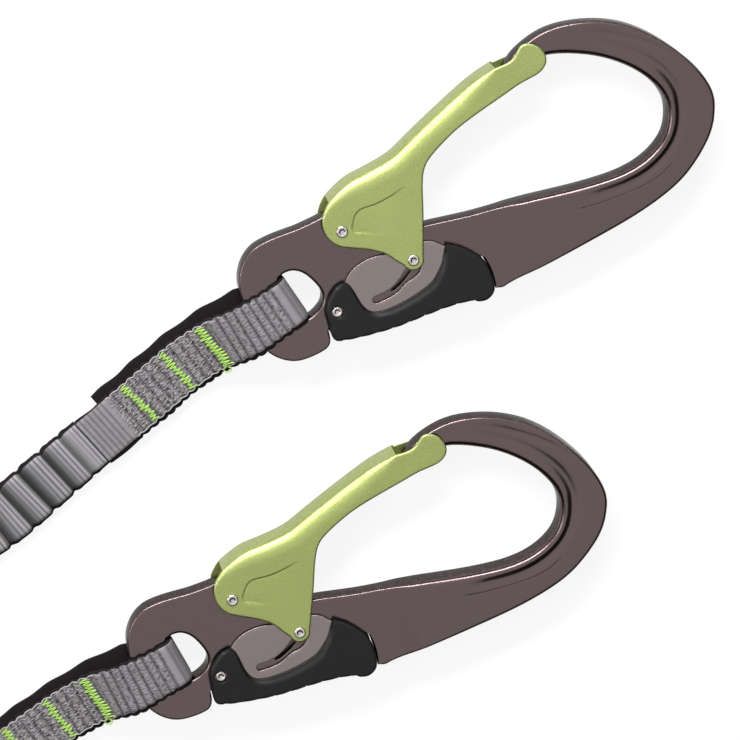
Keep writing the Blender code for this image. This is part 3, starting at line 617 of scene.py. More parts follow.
def calm(loop, size, corner=32):
    """Rounding sizes held down near sharp corners, where a wide rounding would cross itself."""
    corners = loop[turns(loop) > corner]
    if len(corners):
        size = np.minimum(size, 0.1 * mm + 0.6 * np.linalg.norm(loop[:, None] - corners, axis=-1).min(axis=1))
    return size


class Plate:
    """A flat piece: walls round an outline and its holes, rounded edges, and two faces with a height each.

    edges are (loop, front, back, share), the outline first. front and back say how far in from the wall the
    rounding goes on each face, as a number or as a function of plan points, and it goes that share as deep.
    """

    def __init__(self, edges, pitch, extra=()):
        self.edges = [(wound(edge[0], i == 0), *edge[1:]) for i, edge in enumerate(edges)]
        self.pitch, self.extra = pitch, extra
        self.points, self.faces = [], []

    def ring(self, plan_points, heights):
        start = sum(len(p) for p in self.points)
        self.points.append(np.column_stack([plan_points, heights]))
        return np.arange(start, start + len(plan_points))

    def bridge(self, a, b):
        self.faces.extend(np.stack([a, np.roll(a, -1), np.roll(b, -1), b], axis=1).tolist())

    def well(self, loop, level, drop):
        """A flat-bottomed well in a face. Its rim is returned."""
        loop = wound(loop, False)
        rim, bottom = self.ring(loop, level(loop)), self.ring(loop, level(loop) - drop)
        self.bridge(rim, bottom)
        self.faces.extend(bottom[fill([loop], np.zeros((0, 2)))].tolist())
        return rim

    def build(self, top, bottom, wells=()):
        """Points, faces and rim, which drives wear, painted wall shade and painted edge highlights, between
        two height functions. wells are (side, loop, depth).
        """
        rims = {1: [], -1: []}
        for loop, front, back, share in self.edges:
            rings = []
            for sign, level, size in ((-1, bottom, back), (1, top, front)):
                size = size(loop) if callable(size) else np.full(len(loop), float(size))
                size = calm(loop, size) if size.max() > 0 else size
                for turn in (quarter[::sign] if size.max() > 0 else (math.pi / 2,)):
                    moved = inset(loop, size * (1 - np.cos(turn)))
                    rings.append(self.ring(moved, level(moved) - sign * share * size * (1 - np.sin(turn))))
            for a, b in zip(rings, rings[1:]):
                self.bridge(a, b)
            rims[-1].append(rings[0])
            rims[1].append(rings[-1])
        for sign, level in ((-1, bottom), (1, top)):
            rims[sign] += [self.well(loop, level, sign * depth)
                           for side, loop, depth in wells if side == sign]
            every = np.vstack(self.points)
            edges = [every[rim][:, :2] for rim in rims[sign]]
            lattice = dots(edges, self.pitch, self.pitch * 0.45)
            if len(self.extra):
                more = self.extra[inside(self.extra, edges[0])]
                more = more[np.min([distance(more, e) for e in edges], axis=0) > 0.12 * mm]
                lattice = lattice[distance(lattice, more, closed=False) > self.pitch * 0.3]
                lattice = np.vstack([lattice, more])
            numbers = np.concatenate(rims[sign] + [self.ring(lattice, level(lattice))])
            self.faces.extend(numbers[fill(edges, lattice)].tolist())
        every = np.vstack(self.points)
        away = np.min([distance(every[:, :2], edge[0]) for edge in self.edges], axis=0)
        return every, self.faces, 1 - np.clip(away / mm, 0, 1)


def block(outline, low, high):
    """A plain block over a plan outline, to carve with."""
    return Plate([(outline, 0, 0, 1)], 8 * mm).build(*levels(low, high))


# %% [markdown]
# The floor and the light. The picture has a white ground with no horizon, so the floor shows itself as
# white to the camera and to shiny metal but still takes a soft shadow. It lies a little lower than the
# part, because two faces in one plane flicker. A large soft lamp stands beyond the top of the picture,
# where the bright lines on the edges point, and a weak one stands on its left. Dark cards that only
# reflections see give metal its dark lines.

# %% Floor
floor_size, floor_level = 6.0, -0.2 * mm


def lit_ground(name, white, own_light, share_lit):
    """White that is partly light of its own, so that a shadow on it stays pale."""
    finish = Finish(name, Base_Color=(white, white, white, 1), Roughness=1.0)
    tree = finish.tree
    camera_ray, shiny_ray, clear_ray = (finish.node("ShaderNodeLightPath", output=kind) for kind in (
        "Is Camera Ray", "Is Glossy Ray", "Is Transmission Ray"))
    glow = finish.node("ShaderNodeEmission", {}, {"Color": (1, 1, 1, 1), "Strength": own_light})
    blend = finish.node("ShaderNodeMixShader", {}, {"Fac": (camera_ray + shiny_ray + clear_ray) * share_lit,
                                                    1: Wire(finish, finish.shader.outputs[0]), 2: glow})
    tree.links.new(blend.socket, tree.nodes["Material Output"].inputs["Surface"])
    return finish.material


floor_mesh = bpy.data.meshes.new("floor")
corners = np.array([(-1, -1), (1, -1), (1, 1), (-1, 1)]) * floor_size / 2 + np.array(look_at.xy)
floor_mesh.from_pydata(np.column_stack([corners, np.full(4, floor_level)]).tolist(), [], [(0, 1, 2, 3)])
floor_mesh.materials.append(lit_ground("floor", white=0.86, own_light=1.10, share_lit=0.80))
put("floor", floor_mesh)

# %% World and lamps
world_light, world_white = 0.27, 1.0
world = bpy.data.worlds.new("studio")
bpy.context.scene.world = world
world.use_nodes = True
world_nodes, world_links = world.node_tree.nodes, world.node_tree.links
light_path = world_nodes.new("ShaderNodeLightPath")
seen_white = world_nodes.new("ShaderNodeMath")
seen_white.operation = "MAXIMUM"
strength = world_nodes.new("ShaderNodeMapRange")
strength.inputs["To Min"].default_value = world_light
strength.inputs["To Max"].default_value = world_white
ground = world_nodes["Background"]
ground.inputs["Color"].default_value = (1, 1, 1, 1)
for start, end in ((light_path.outputs["Is Camera Ray"], seen_white.inputs[0]),
                   (light_path.outputs["Is Glossy Ray"], seen_white.inputs[1]),
                   (seen_white.outputs[0], strength.inputs["Value"]),
                   (strength.outputs[0], ground.inputs["Strength"])):
    world_links.new(start, end)


def lamp(name, bearing, lift, distance_off, size, watts):
    """A soft lamp aimed at the object. A bearing of 90 is beyond the photo's top, and 180 at its left."""
    turn, lift = math.radians(bearing) + photo_turn, math.radians(lift)
    where = Vector((math.cos(turn) * math.cos(lift), math.sin(turn) * math.cos(lift), math.sin(lift)))
    data = bpy.data.lights.new(name, "AREA")
    data.shape, data.size, data.size_y, data.energy = "RECTANGLE", size[0], size[1], watts
    made = put(name, data)
    made.location = look_at + where * distance_off
    made.rotation_euler = where.to_track_quat("Z", "Y").to_euler()


lamp("key_lamp", bearing=110, lift=36, distance_off=1.5, size=(1.3, 0.26), watts=29.0)
lamp("side_lamp", bearing=178, lift=42, distance_off=1.5, size=(0.5, 0.4), watts=4.0)


def dark_card(name, radius, low, high, first, last, steps=33):
    """A curved card round the object, from one bearing to another, that only reflections see."""
    angle = np.radians(np.linspace(first, last, steps)) + photo_turn
    ring = arc(look_at.xy, radius, angle)
    points = np.vstack([np.column_stack([ring, np.full(steps, height)]) for height in (low, high)])
    mesh = bpy.data.meshes.new(name)
    mesh.from_pydata(points.tolist(), [], grid_faces(2, steps))
    mesh.materials.append(
        Finish(name, Base_Color=(0.02, 0.02, 0.02, 1), Roughness=1.0, Specular_IOR_Level=0.0).material)
    made = put(name, mesh)
    made.visible_camera = made.visible_diffuse = made.visible_shadow = False


dark_card("low_card", radius=1.3, low=0.0, high=0.46, first=0, last=360)
dark_card("high_card", radius=1.28, low=0.44, high=1.75, first=200, last=385)
print(len(bpy.data.lights), "lamps")

# %% [markdown]
# Frame. The hook is forged and machined: straight walls, rounded edges that are fullest inside the hook,
# and flutes that follow it. The faces are a height over the plan, and each flute is a smooth dip about its
# own line, deepest where the line says. A fine cut line runs beside the channel at the bottom of the hook.

# %% Frames
frame_face, hook_face = 4.2 * mm, 5.8 * mm
thick_from, thick_to = 49.9 * mm, 63.9 * mm
thin_from, thin_to = 105.0 * mm, 66.5 * mm
channel = drawn([(92.8, 37.3), (102.1, 33.2), (112.2, 26.6), (120.1, 18.2), (123.7, 9.8), (123.5, 2.8),
                 (120.8, -4.9), (115.5, -11.0), (106.9, -15.6), (96.1, -17.5), (80.5, -17.2)])
crescent = drawn([(95.8, 38.9), (104.4, 35.6), (113.6, 30.6), (121.0, 25.3), (125.6, 20.6),
                  (129.1, 16.4)])
hairline = drawn([(76.9, -19.9), (86.3, -20.6), (95.4, -20.4), (103.3, -19.9), (109.8, -18.4),
                  (114.1, -16.2), (117.6, -13.9)])
flutes = (      # line, width, places, depths in mm
    (channel, 1.55 * mm, (0, 0.12, 0.35, 0.75, 0.92, 1), (0, 0.30, 0.60, 0.62, 0.40, 0)),
    (crescent, 1.1 * mm, (0, 0.3, 0.7, 1), (0, 0.34, 0.34, 0)),
    (hairline, 0.16 * mm, (0, 0.1, 0.9, 1), (0, 0.12, 0.12, 0)))


def frame_height(points):
    """Half the frame's thickness: base(x, y) - each flute's depth(place) * dip(distance, width)."""
    x, y = points.T
    rise = np.where(y > 0, (x - y - thin_to) / (thin_from - thin_to),
                    (x - thick_from) / (thick_to - thick_from))
    height = frame_face + (hook_face - frame_face) * ease(rise)
    for line, width, places, depths in flutes:
        away, share = beside(points, line)
        height -= np.interp(share, places, depths) * mm * dip(away, width)
    return height


def rows_beside(line, offsets, pitch):
    """Rows of mesh points that keep to a line, so that a narrow feature is drawn cleanly."""
    line = resample(line, pitch)
    side = left_of(directions(line))
    return np.vstack([line + side * offset for offset in offsets])


fine_rows = np.vstack([rows_beside(channel, np.arange(-5, 6) * 0.42 * mm, 0.55 * mm),
                       rows_beside(crescent, np.arange(-4, 5) * 0.40 * mm, 0.55 * mm)])
hair_rows = rows_beside(hairline, np.array([-0.32, -0.14, 0, 0.14, 0.32]) * mm, 0.4 * mm)
fine_rows = np.vstack([fine_rows[distance(fine_rows, hairline, False) > 0.45 * mm], hair_rows])
hook_inside = drawn([(62.8, -11.2), (80.7, -13.0), (95.6, -13.5), (105.7, -11.7), (113.1, -7.9),
                     (117.3, -3.0), (119.4, 4.2), (118.0, 11.0), (113.1, 18.6), (105.5, 25.2),
                     (96.4, 30.3), (85.6, 33.8)], 4)
least_eye_area = 60 * mm * mm
spring_pocket_radius, spring_pocket_depth = 4.7 * mm, 1.8 * mm


def frame_rounding(points):
    """How far the rounding of the edge goes in: most inside the hook."""
    near = 1 - beside(points, hook_inside)[0] / (7 * mm)
    hook = ease((points[:, 0] - 60 * mm) / (25 * mm))
    return (0.75 + 0.35 * hook + ease(near)) * mm


def make_frames():
    """The frames' skin: outline and holes from the node, flutes from frame_height."""
    loops = [refine(loop, 0.7 * mm) for loop in wall_loops("frame_upper")]
    lever_hole = min(loops, key=lambda loop: np.linalg.norm(loop.mean(axis=0) - lever_pivot))
    edges = [(loops[0], frame_rounding, frame_rounding, 1)]
    for loop in loops[1:]:
        if loop is not lever_hole:
            front, back = (1.1, 0.5) if signed_area(loop) > least_eye_area else (0.2, 0.2)
            edges.append((loop, front * mm, back * mm, 1))
    pocket = circle(lever_pivot, spring_pocket_radius)
    shape = Plate(edges, 0.85 * mm, fine_rows).build(
        frame_height, lambda p: -frame_height(p), [(-1, pocket, spring_pocket_depth)])
    make_pair("frame", shape, frame_metal, "root", "frame_anodised")


make_frames()

# %% [markdown]
# Gate. It is pressed from sheet into a U: a web along the outer side with a generous bend, and an ear on
# each face of the frame. Its skin is a full body with that bend, from which the room between the ears is
# then carved. The ear has a shallow pressed field, whose upper rim is a crisp step that fades away below.

# %% Gates
cam_pin = np.array([20.125, -17.675]) * mm
gate_face, gate_room_face = 6.7 * mm, 5.7 * mm
web = drawn([(-3.7, 8.4), (-0.35, 11.55), (7.2, 15.2), (14.9, 16.6), (23.8, 18.55), (32.4, 22.6),
             (38.2, 25.4), (52.0, 31.7), (60.0, 34.65), (66.5, 36.2)], 8)
nose = drawn([(66.5, 36.2), (70.5, 36.4), (73.5, 37.3), (75.8, 39.4), (77.35, 40.6), (79.6, 40.6),
              (82.6, 38.85), (84.35, 35.35), (84.0, 32.55), (82.25, 30.6), (79.6, 29.4), (73.0, 28.2),
              (66.3, 26.25), (54.4, 22.75), (46.4, 19.8), (37.8, 15.2), (33.6, 11.55), (31.15, 6.1),
              (28.5, -3.0), (24.5, -15.75)], 8)
ear = drawn([(16.45, -18.4), (14.35, -15.9), (11.55, -12.4), (7.0, -9.3), (2.1, -7.0), (-2.6, -4.55),
             (-5.25, -0.9), (-5.8, 3.15), (-4.9, 6.5), (-3.7, 8.4)], 8)
gate_mouth = np.array([(66.5, 45.5), (98.0, 45.5), (98.0, 10.5), (40.25, -29.75), (-15.75, -29.75),
                       (-15.75, 5.95)]) * mm
field_rim = drawn([(3.6, -0.9), (4.0, 1.0), (5.5, 3.7), (7.2, 5.1), (9.3, 5.6), (14.2, 5.6), (19.3, 6.4),
                   (23.9, 7.7), (25.8, 8.0)])
field_foot = np.array([(3.6, -0.9), (4.3, -1.7), (7.9, -3.3), (11.0, -4.7)]) * mm
field_end = np.array([(40, 4), (30, -12)]) * mm
field_depth, field_step, web_wall = 0.19 * mm, 0.42 * mm, 1.2 * mm
bend_places = (0, 0.06, 0.2, 0.4, 0.8, 0.93, 1)
bend_radii = (1.3, 2.6, 5.0, 5.8, 5.8, 3.4, 0.9)            # mm, from the web's lower end to its nose
back_lobe = np.array([(67.5, 44.0), (84.5, 44.0), (84.5, 37.5), (79.0, 36.6), (67.5, 35.6)]) * mm
web_end = np.array([(-9.0, 5.0), (-2.6, 6.3), (-1.0, 8.0), (-1.0, 13.5), (-9.0, 13.5)]) * mm


def sunk(points, line, full_to, reach):
    """How deep a field lies beside its rim: a crisp step, and then a long return to the face."""
    away, share = beside(points, line)
    return np.interp(share, (0, full_to, 1), (1, 1, 0)) * np.exp(-away / reach) * ease(away / field_step)


def gate_height(points):
    """Height of the ear's face, less its pressed field: face - depth * the deeper of two sunk edges."""
    field = inside(points, np.vstack([field_foot[::-1], field_rim, field_end]))
    return gate_face - field_depth * field * np.maximum(sunk(points, field_rim, 0.75, 5.5 * mm),
                                                        sunk(points, field_foot, 0.5, 2.5 * mm))


def bend_size(points, line, least, scale):
    """Radius of the bend: widest along the middle of the web, small at the nose and at the notch."""
    away, share = beside(points, line)
    size = np.interp(share, bend_places, bend_radii) * mm
    return least + (size * scale - least) * ease(1.5 - away / (1.5 * mm))


def gate_room():
    """The room between the ears, rounded where it meets the bend."""
    line = resample(web, 0.6 * mm)
    inner = line - left_of(directions(line)) * web_wall

    def bend(scale):
        return lambda p: (np.maximum(0, bend_size(p, inner, 0, scale) - 1.3 * mm)
                          * (beside(p, inner)[0] < 0.1 * mm))
    room = Plate([(np.vstack([inner, gate_mouth]), bend(1.0), bend(0.5), 0.55)], 8 * mm)
    return room.build(*levels(-gate_room_face, gate_room_face))


def make_gates():
    """The gates' skin with its room carved out, riding on the gates' bodies."""
    tip = arc(cam_pin, 3.7 * mm, np.radians(np.linspace(2, -166, 15)))
    outline = resample(np.vstack([web, nose[1:], tip, ear[1:]]), 0.45 * mm)[:-1]
    edges = [(outline, lambda p: bend_size(p, web, 0.8 * mm, 1.0),
              lambda p: bend_size(p, web, 0.35 * mm, 0.5), 0.55),
             (circle((0, 0), 1.8 * mm), 0.12 * mm, 0.12 * mm, 1),
             (circle(cam_pin, 1.3 * mm), 0.1 * mm, 0.1 * mm, 1)]
    rows = np.vstack([
        rows_beside(field_rim, np.array([-0.62, -0.42, -0.28, -0.14, 0, 0.2, 0.6]) * mm, 0.36 * mm),
        rows_beside(field_foot, np.array([-0.2, 0, 0.14, 0.28, 0.42, 0.62]) * mm, 0.36 * mm)])
    shape = Plate(edges, 0.9 * mm, rows).build(gate_height, lambda p: -gate_height(p))
    make_pair("gate", shape, gate_metal, "gate_{}_body", "gate_anodised", [
        gate_room(), block(back_lobe, -8.0 * mm, -5.6 * mm), block(web_end, -5.6 * mm, 5.5 * mm)])


make_gates()

# %% [markdown]
# Palm lever. Two ground side plates with the cam slot carry a black moulded grip. The grip has a soft bevel
# where it meets the plate, and shallow lobes along its lower edge that stop the palm from slipping.

# %% Lever plates
def ease_corners(loop):
    """The cam slot with its recess's corners rounded: a moving mean where weight(x, y) is over 0."""
    loop = resample(np.vstack([loop, loop[:1]]), 0.25 * mm)[:-1]
    rounded = loop
    for reach in (7, 3):
        rounded = np.mean([np.roll(rounded, k, axis=0) for k in range(-reach, reach + 1)], axis=0)
    x, y = loop.T / mm
    weight = np.clip((-18.3 - y) / 1.5, 0, 1) * np.clip((x - 7) / 3, 0, 1)
    return loop + (rounded - loop) * weight[:, None]


plate_outer, slot, plate_bore = wall_loops("lever_front_plate_upper", below_top=0.5 * mm)
plate_loops = [refine(plate_outer, 0.45 * mm), ease_corners(slot), refine(plate_bore, 0.45 * mm)]
plate_edges = [(loop, 0.22 * mm, 0.15 * mm, 1) for loop in plate_loops]
for side, low, high in (("front", 4.5 * mm, 5.4 * mm), ("back", -5.4 * mm, -4.5 * mm)):
    make_pair(f"lever_{side}_plate", Plate(plate_edges, 1.2 * mm).build(*levels(low, high)), plate_metal,
              "lever_{}_body", "lever_plate")

# %% Palm grips
wing_face = 7.0 * mm
grip_inner_edge = drawn([(-4.6, -17.2), (-3.2, -19.1), (-2.3, -22.1), (-1.6, -25.6), (-0.5, -28.4),
                         (1.2, -30.3), (4.0, -31.2), (8.6, -31.2), (13.8, -30.5), (19.4, -29.1),
                         (24.0, -27.3), (26.6, -25.0), (28.9, -22.6), (30.5, -19.8), (31.5, -17.7),
                         (32.7, -16.1)])
grip_lower_edge = drawn([(-12.3, -36.2), (-9.5, -36.9), (-2.3, -37.8), (7.4, -38.3), (15.9, -38.0),
                         (25.7, -37.6), (34.0, -38.2), (38.3, -39.5)])
grip_left_edge = np.array([(-7.9, -17.7), (-11.6, -20.5), (-14.0, -24.3), (-14.5, -29.0)]) * mm
grip_room = np.array([(-21.0, -8.75), (-21.0, -45.5), (-13.825, -45.5), (-13.65, -32.725), (-11.025, -32.725),
                      (-2.975, -32.375), (9.975, -31.15), (42.0, -30.275), (42.525, -45.5), (52.5, -45.5),
                      (52.5, -8.75)]) * mm
lobe_pitch, lobe_start, lobe_depth = 5.86 * mm, 1.2 * mm, 0.75 * mm
bevel_depth = 0.85 * mm


def lobes(points):
    """How far the lower edge draws in: 0 on a lobe and most at the narrow notch between two."""
    away, share = beside(points, grip_lower_edge)
    along = share * run_along(grip_lower_edge)[-1] - lobe_start
    notch = 1 - np.abs(np.sin(math.pi * along / lobe_pitch)) ** 0.35
    return lobe_depth * notch * (away < 1.0 * mm) * between(share, 0, 1, 0.05, 0.05)


def grip_height(points):
    """Wing face with a bevel along its inner edge, widest round the plate's lower corner."""
    away, share = beside(points, grip_inner_edge)
    width = np.interp(share, (0, 0.2, 0.4, 0.75, 1), (0.5, 0.7, 2.6, 2.8, 0.6)) * mm
    return wing_face - bevel_depth * (1 - ease(away / width))


def grip_rounding(points):
    """How far the rounding of the edge goes in: least along the plate and most at the left."""
    at_inner = beside(points, grip_inner_edge)[0] < 0.6 * mm
    at_left = ease(1.4 - beside(points, grip_left_edge)[0] / (3 * mm))
    return np.where(at_inner, 0.25, 1.0 + 0.7 * at_left) * mm


def make_grips():
    """The grips' skin, with room for the frame's edge and pockets for the two side plates."""
    outline = refine(wall_loops("palm_grip_upper")[0], 0.3 * mm)
    outline = inset(outline, lobes(outline))
    edges = [(outline, grip_rounding, grip_rounding, 0.9),
             (circle(lever_pivot, 2.1 * mm), 0.35 * mm, 0.35 * mm, 1)]
    rows = rows_beside(grip_inner_edge, np.arange(1, 8) * -0.42 * mm, 0.7 * mm)
    shape = Plate(edges, 0.9 * mm, rows).build(grip_height, lambda p: -grip_height(p))
    pocket = inset(plate_loops[0][::3], -0.3 * mm)
    cutters = [block(loop, low * mm, high * mm) for loop, low, high in (
        (grip_room, -5.7, 5.7), (pocket, 4.2, 5.71), (pocket, -5.71, -4.2))]
    make_pair("palm_grip", shape, grip_plastic, "lever_{}_body", "grip_moulded", cutters)


make_grips()

# %% [markdown]
# Rivets. Each is turned: a flat head with a rounded edge and a shallow dimple from the setting tool, and a
# shank between its two heads. A half profile in radius and height is spun round, and mirrored for the back.

# %% Rivets
def make_rivets(name, body, centre, shank, head, inner, outer, around=48):
    """Spin a rivet's profile, given in mm: angle runs round the axis, and the profile from front to back."""
    half = [(0.25 * head, outer - 0.28), (0.42 * head, outer - 0.20), (0.54 * head, outer - 0.05),
            (0.62 * head, outer), (0.82 * head, outer - 0.02), (0.93 * head, outer - 0.10),
            (head, outer - 0.24), (head, inner + 0.04), (head - 0.05, inner), (shank, inner)]
    profile = np.array(half + [(r, -z) for r, z in half[::-1]])
    angle = np.linspace(0, 2 * math.pi, around, endpoint=False)
    points = np.vstack([np.column_stack([arc(centre, r * mm, angle), np.full(around, z * mm)])
                        for r, z in profile])
    faces = grid_faces(len(profile), around, close_columns=True) + end_caps(len(profile), around)
    rim = np.interp(profile[:, 0], (0.55 * head, 0.62 * head, 0.9 * head, head), (0, 1, 0.3, 1))
    make_pair(name, (points, faces, np.repeat(rim, around)), rivet_metal, body, "rivet_steel")


make_rivets("gate_pivot_rivet", "root", (0, 0), shank=1.5, head=2.0, inner=7.0, outer=7.5)
make_rivets("gate_cam_pin", "gate_{}_body", cam_pin, shank=1.0, head=1.95, inner=7.0, outer=7.5)
make_rivets("lever_pivot_rivet", "root", lever_pivot, shank=1.2, head=1.8, inner=5.7, outer=6.6)
print(len(pieces), "pieces so far")

# %% [markdown]
# Webbing. The weave is painted from how far along the band, and how far across it, each point lies, both kept
# in metres on the mesh. Fine ridges run along the band for its warp, and finer ones across it for the weft.
# The front is grey and everything else black. An attribute called shade paints shade into the deep folds of
# the gathered elastic and into the valleys of the ribs.

# %% Webbing and thread finishes
def woven(name, grey, black):
    """Webbing: warp(across) and weft(along) give the weave, dashes stand for sewn stitches, and shade is
    painted shade.
    """
    finish = Finish(name, Roughness=0.92, Specular_IOR_Level=0.10, Sheen_Weight=0.03)
    along, across, front, sewn, shade = (
        finish.attribute(key) for key in ("along", "across", "front", "sewn", "shade"))
    warp = across.wave(0.60 * mm) * 0.5 + 0.5
    weft = along.wave(0.48 * mm) * 0.5 + 0.5
    where = finish.node("ShaderNodeCombineXYZ", {}, {"X": along * 640.0, "Y": across * 2300.0, "Z": 0.0})
    dash = finish.noise(1.0, detail=1.0, roughness=0.4, at=where)
    deep = finish.steps(dash, ((0.36, 1.0), (0.49, 0.0))) * sewn
    lit = finish.steps(dash, ((0.53, 0.0), (0.64, 1.0))) * (sewn * 0.85 + 0.15)
    fuzz = finish.noise(5200.0, roughness=0.7)
    dirt = finish.noise(130.0, detail=3.0)
    gap = (1.0 - warp) ** 3 * 0.42 + (1.0 - weft) ** 3 * 0.16
    face = finish.mix(lit * 0.6 + (fuzz - 0.5) * 0.5, grey, toned(grey, 1.5))
    face = finish.mix(gap + deep * 0.95 + sewn * 0.12 + (dirt - 0.5) * 0.3, face, toned(grey, 0.16))
    # painted shade: the shade attribute takes the front towards a twentieth of its grey
    face = finish.mix(shade, face, toned(grey, 0.05))
    fuzzy_black = finish.mix(fuzz * 0.5 + (1.0 - gap) * 0.2, black, toned(black, 2.4))
    finish.set(Base_Color=finish.mix(front, fuzzy_black, face))
    finish.bump(warp * 0.5 + weft * 0.3 + dash * (sewn * 1.2) + fuzz * 0.3, 0.16 * mm, 0.8)
    return finish.material


def spun(name, colour):
    """Sewing thread: a twist that runs along it."""
    finish = Finish(name, Roughness=0.6, Specular_IOR_Level=0.4)
    twist = finish.attribute("along").wave(0.5 * mm) * 0.5 + 0.5
    finish.set(Base_Color=finish.mix(twist * 0.6, colour, toned(colour, 0.6)))
    finish.bump(twist, 0.05 * mm, 0.8)
    return finish.material


webbing_weave = woven("webbing_weave", srgb(166, 162, 166), srgb(24, 21, 23))
elastic_weave = woven("elastic_weave", srgb(190, 187, 191), srgb(24, 21, 23))
lime_thread = spun("lime_thread", srgb(192, 238, 116))
pale_thread = spun("pale_thread", srgb(208, 205, 207))

# %% [markdown]
# Bands and threads. A band is a section carried along a middle line: a front that can be raised into ribs,
# a black edge that stands out a little on each side, and a flat back. A thread is a six-sided ring carried
# along its path, which is enough for something so thin and keeps hundreds of stitches light.

# %% Bands
def band_section(columns=15):
    """(share, flange, level, front) round a band: its front, its black edge, its back and its other edge."""
    front = [(u, 0, 0.86 if abs(u) > 0.99 else 1.0, 1) for u in np.linspace(-1, 1, columns)]
    side = [(1, 0.12, 0.50, 0), (1, 0.75, 0.38, 0), (1, 1, -0.15, 0), (1, 0.85, -0.80, 0)]
    back = [(u, 0, -1, 0) for u in np.linspace(1, -1, 7)]
    return np.array(front + side + back + [(-u, -f, v, w) for u, f, v, w in side[::-1]])


class Band:
    """A strip of webbing: a middle line, the directions across it and out of its front, and its sizes."""

    def __init__(self, centre, across, half_width, half_thick, flange):
        self.centre, self.across = centre, across
        self.out = unit(np.cross(directions(centre), across))
        self.along = run_along(centre)
        count = len(centre)
        self.half_width, self.half_thick = (np.broadcast_to(v, count) for v in (half_width, half_thick))
        self.flange = np.broadcast_to(flange, (count, 2)) if np.ndim(flange) else np.full((count, 2), flange)
        self.relief = np.zeros(count)

    def at(self, along, share, lift=0.0):
        """Points on the front, at distances along the band and shares of its half width, raised by lift."""
        height = np.interp(along, self.along, self.half_thick + self.relief)
        width = np.interp(along, self.along, self.half_width)
        centre, across, out = (read_at(along, self.along, line)
                               for line in (self.centre, self.across, self.out))
        return centre + across * (share * width)[:, None] + out * (height + lift)[:, None]

    def mesh(self, columns=15):
        """Points, faces and the along, across and front of every point."""
        share, flange, level, front = band_section(columns).T
        edge = np.where(flange > 0, self.flange[:, 1:], self.flange[:, :1]) * np.abs(flange) * np.sign(share)
        side = share * self.half_width[:, None] + edge
        rise = level * self.half_thick[:, None] + self.relief[:, None] * front * (1 - 0.5 * share**8)
        points = (self.centre[:, None] + self.across[:, None] * side[..., None]
                  + self.out[:, None] * rise[..., None])
        rows, count = side.shape
        faces = grid_faces(rows, count, close_columns=True) + end_caps(rows, count)
        return points.reshape(-1, 3), faces, {
            "along": np.repeat(self.along, count), "across": side.ravel(), "front": np.tile(front, rows)}


def dress_band(stem, ending, shape, finish, sewn, shade):
    """Make a band's mesh a node's skin. sewn and shade are one number each, or have a value for every row."""
    points, faces, woven_on = shape
    sewn, shade = (np.repeat(value, len(points) // np.size(value)) for value in (sewn, shade))
    return dress(f"{stem}_skin{ending}", closed_mesh(stem, points, faces), finish, "root", "webbing",
                 [stem + ending], smooth_angle=75, sewn=sewn, shade=shade, **woven_on)


# %% Threads
def make_threads(name, paths, radius, finish, slot, around=6):
    """Round threads along paths, thinner at their ends, all in one piece."""
    points, faces, along = [], [], []
    angle = np.linspace(0, 2 * math.pi, around, endpoint=False)
    for path in paths:
        ahead = directions(path)
        side = unit(np.cross(ahead, (0.31, 0.17, 0.93)))
        lift = np.cross(side, ahead)
        ring = side[:, None] * np.cos(angle)[None, :, None] + lift[:, None] * np.sin(angle)[None, :, None]
        start, size = sum(len(p) for p in points), np.full(len(path), radius)
        size[[0, -1]] *= 0.4
        points.append((path[:, None] + ring * size[:, None, None]).reshape(-1, 3))
        faces += grid_faces(len(path), around, close_columns=True, start=start)
        faces += end_caps(len(path), around, start)
        along.append(np.repeat(np.arange(len(path)) * np.linalg.norm(path[1] - path[0]), around))
    mesh = closed_mesh(name, np.vstack(points), faces)
    dress(name, mesh, finish, "root", slot, smooth_angle=80, along=np.concatenate(along))


# %% [markdown]
# Sewn end loops. Each is one length of webbing: its black inner face shows where the back leg lies askew
# behind the connector, and its grey outer face on the leg that comes round the eye plate's bar to the
# front. Near the eye the grey is woven in ribs. Further on it is sewn flat with three zigzag tacks, and its
# edges scallop between the stitches. Heights are measured from the connector's middle plane, distances from
# the fold in the eye.

# %% Lines of the sewn loops
loop_line = drawn([(-21.525, -16.975), (-36.925, -21.175), (-52.5, -24.675), (-67.375, -29.4),
                   (-85.225, -36.575), (-103.95, -44.1)], 12)
loop_along = run_along(loop_line)
loop_length = loop_along[-1]
back_leg = [(77.0, -6.15), (58.0, -6.15), (40.0, -6.15), (27.0, -6.05), (19.0, -5.75), (10.0, -5.6),
            (5.0, -5.5)]
fold = [(3.0, -5.35), (1.75, -4.6), (1.15, -3.2), (1.0, -1.2), (1.0, 1.2), (1.15, 3.2), (1.75, 4.6),
        (3.0, 5.35)]
front_leg = [(5.0, 5.5), (10.0, 5.55), (15.0, 5.5), (19.0, 5.35), (22.5, 4.6), (26.5, 2.6), (31.0, -0.1),
             (35.5, -2.5), (40.0, -3.75), (46.0, -4.2), (58.0, -4.25), (72.0, -4.25),
             (loop_length / mm + 0.2, -4.3)]
loop_side = resample(drawn(back_leg + fold + front_leg, 8), 0.42 * mm)
rib_pitch, scallop_pitch, sewn_rib_pitch = 3.0 * mm, 3.6 * mm, 1.9 * mm
rib_start, sewn_end = 3.2 * mm, 74.0 * mm
tacks = ((33.2, 3.3, 13), (48.6, 2.4, 12), (65.6, 2.4, 12))        # distance and width in mm, zigzags


def rounded_ribs(place, pitch):
    """0 on the top of a rib and -1 in the narrow valley between two."""
    return np.abs(np.sin(math.pi * place / pitch)) ** 0.75 - 1


def deep_valley(place, pitch):
    """1 at the bottom of a valley and 0 over the wide top of a rib."""
    return np.clip(1 - np.abs(np.sin(math.pi * place / pitch)) / 0.82, 0, 1) ** 1.1


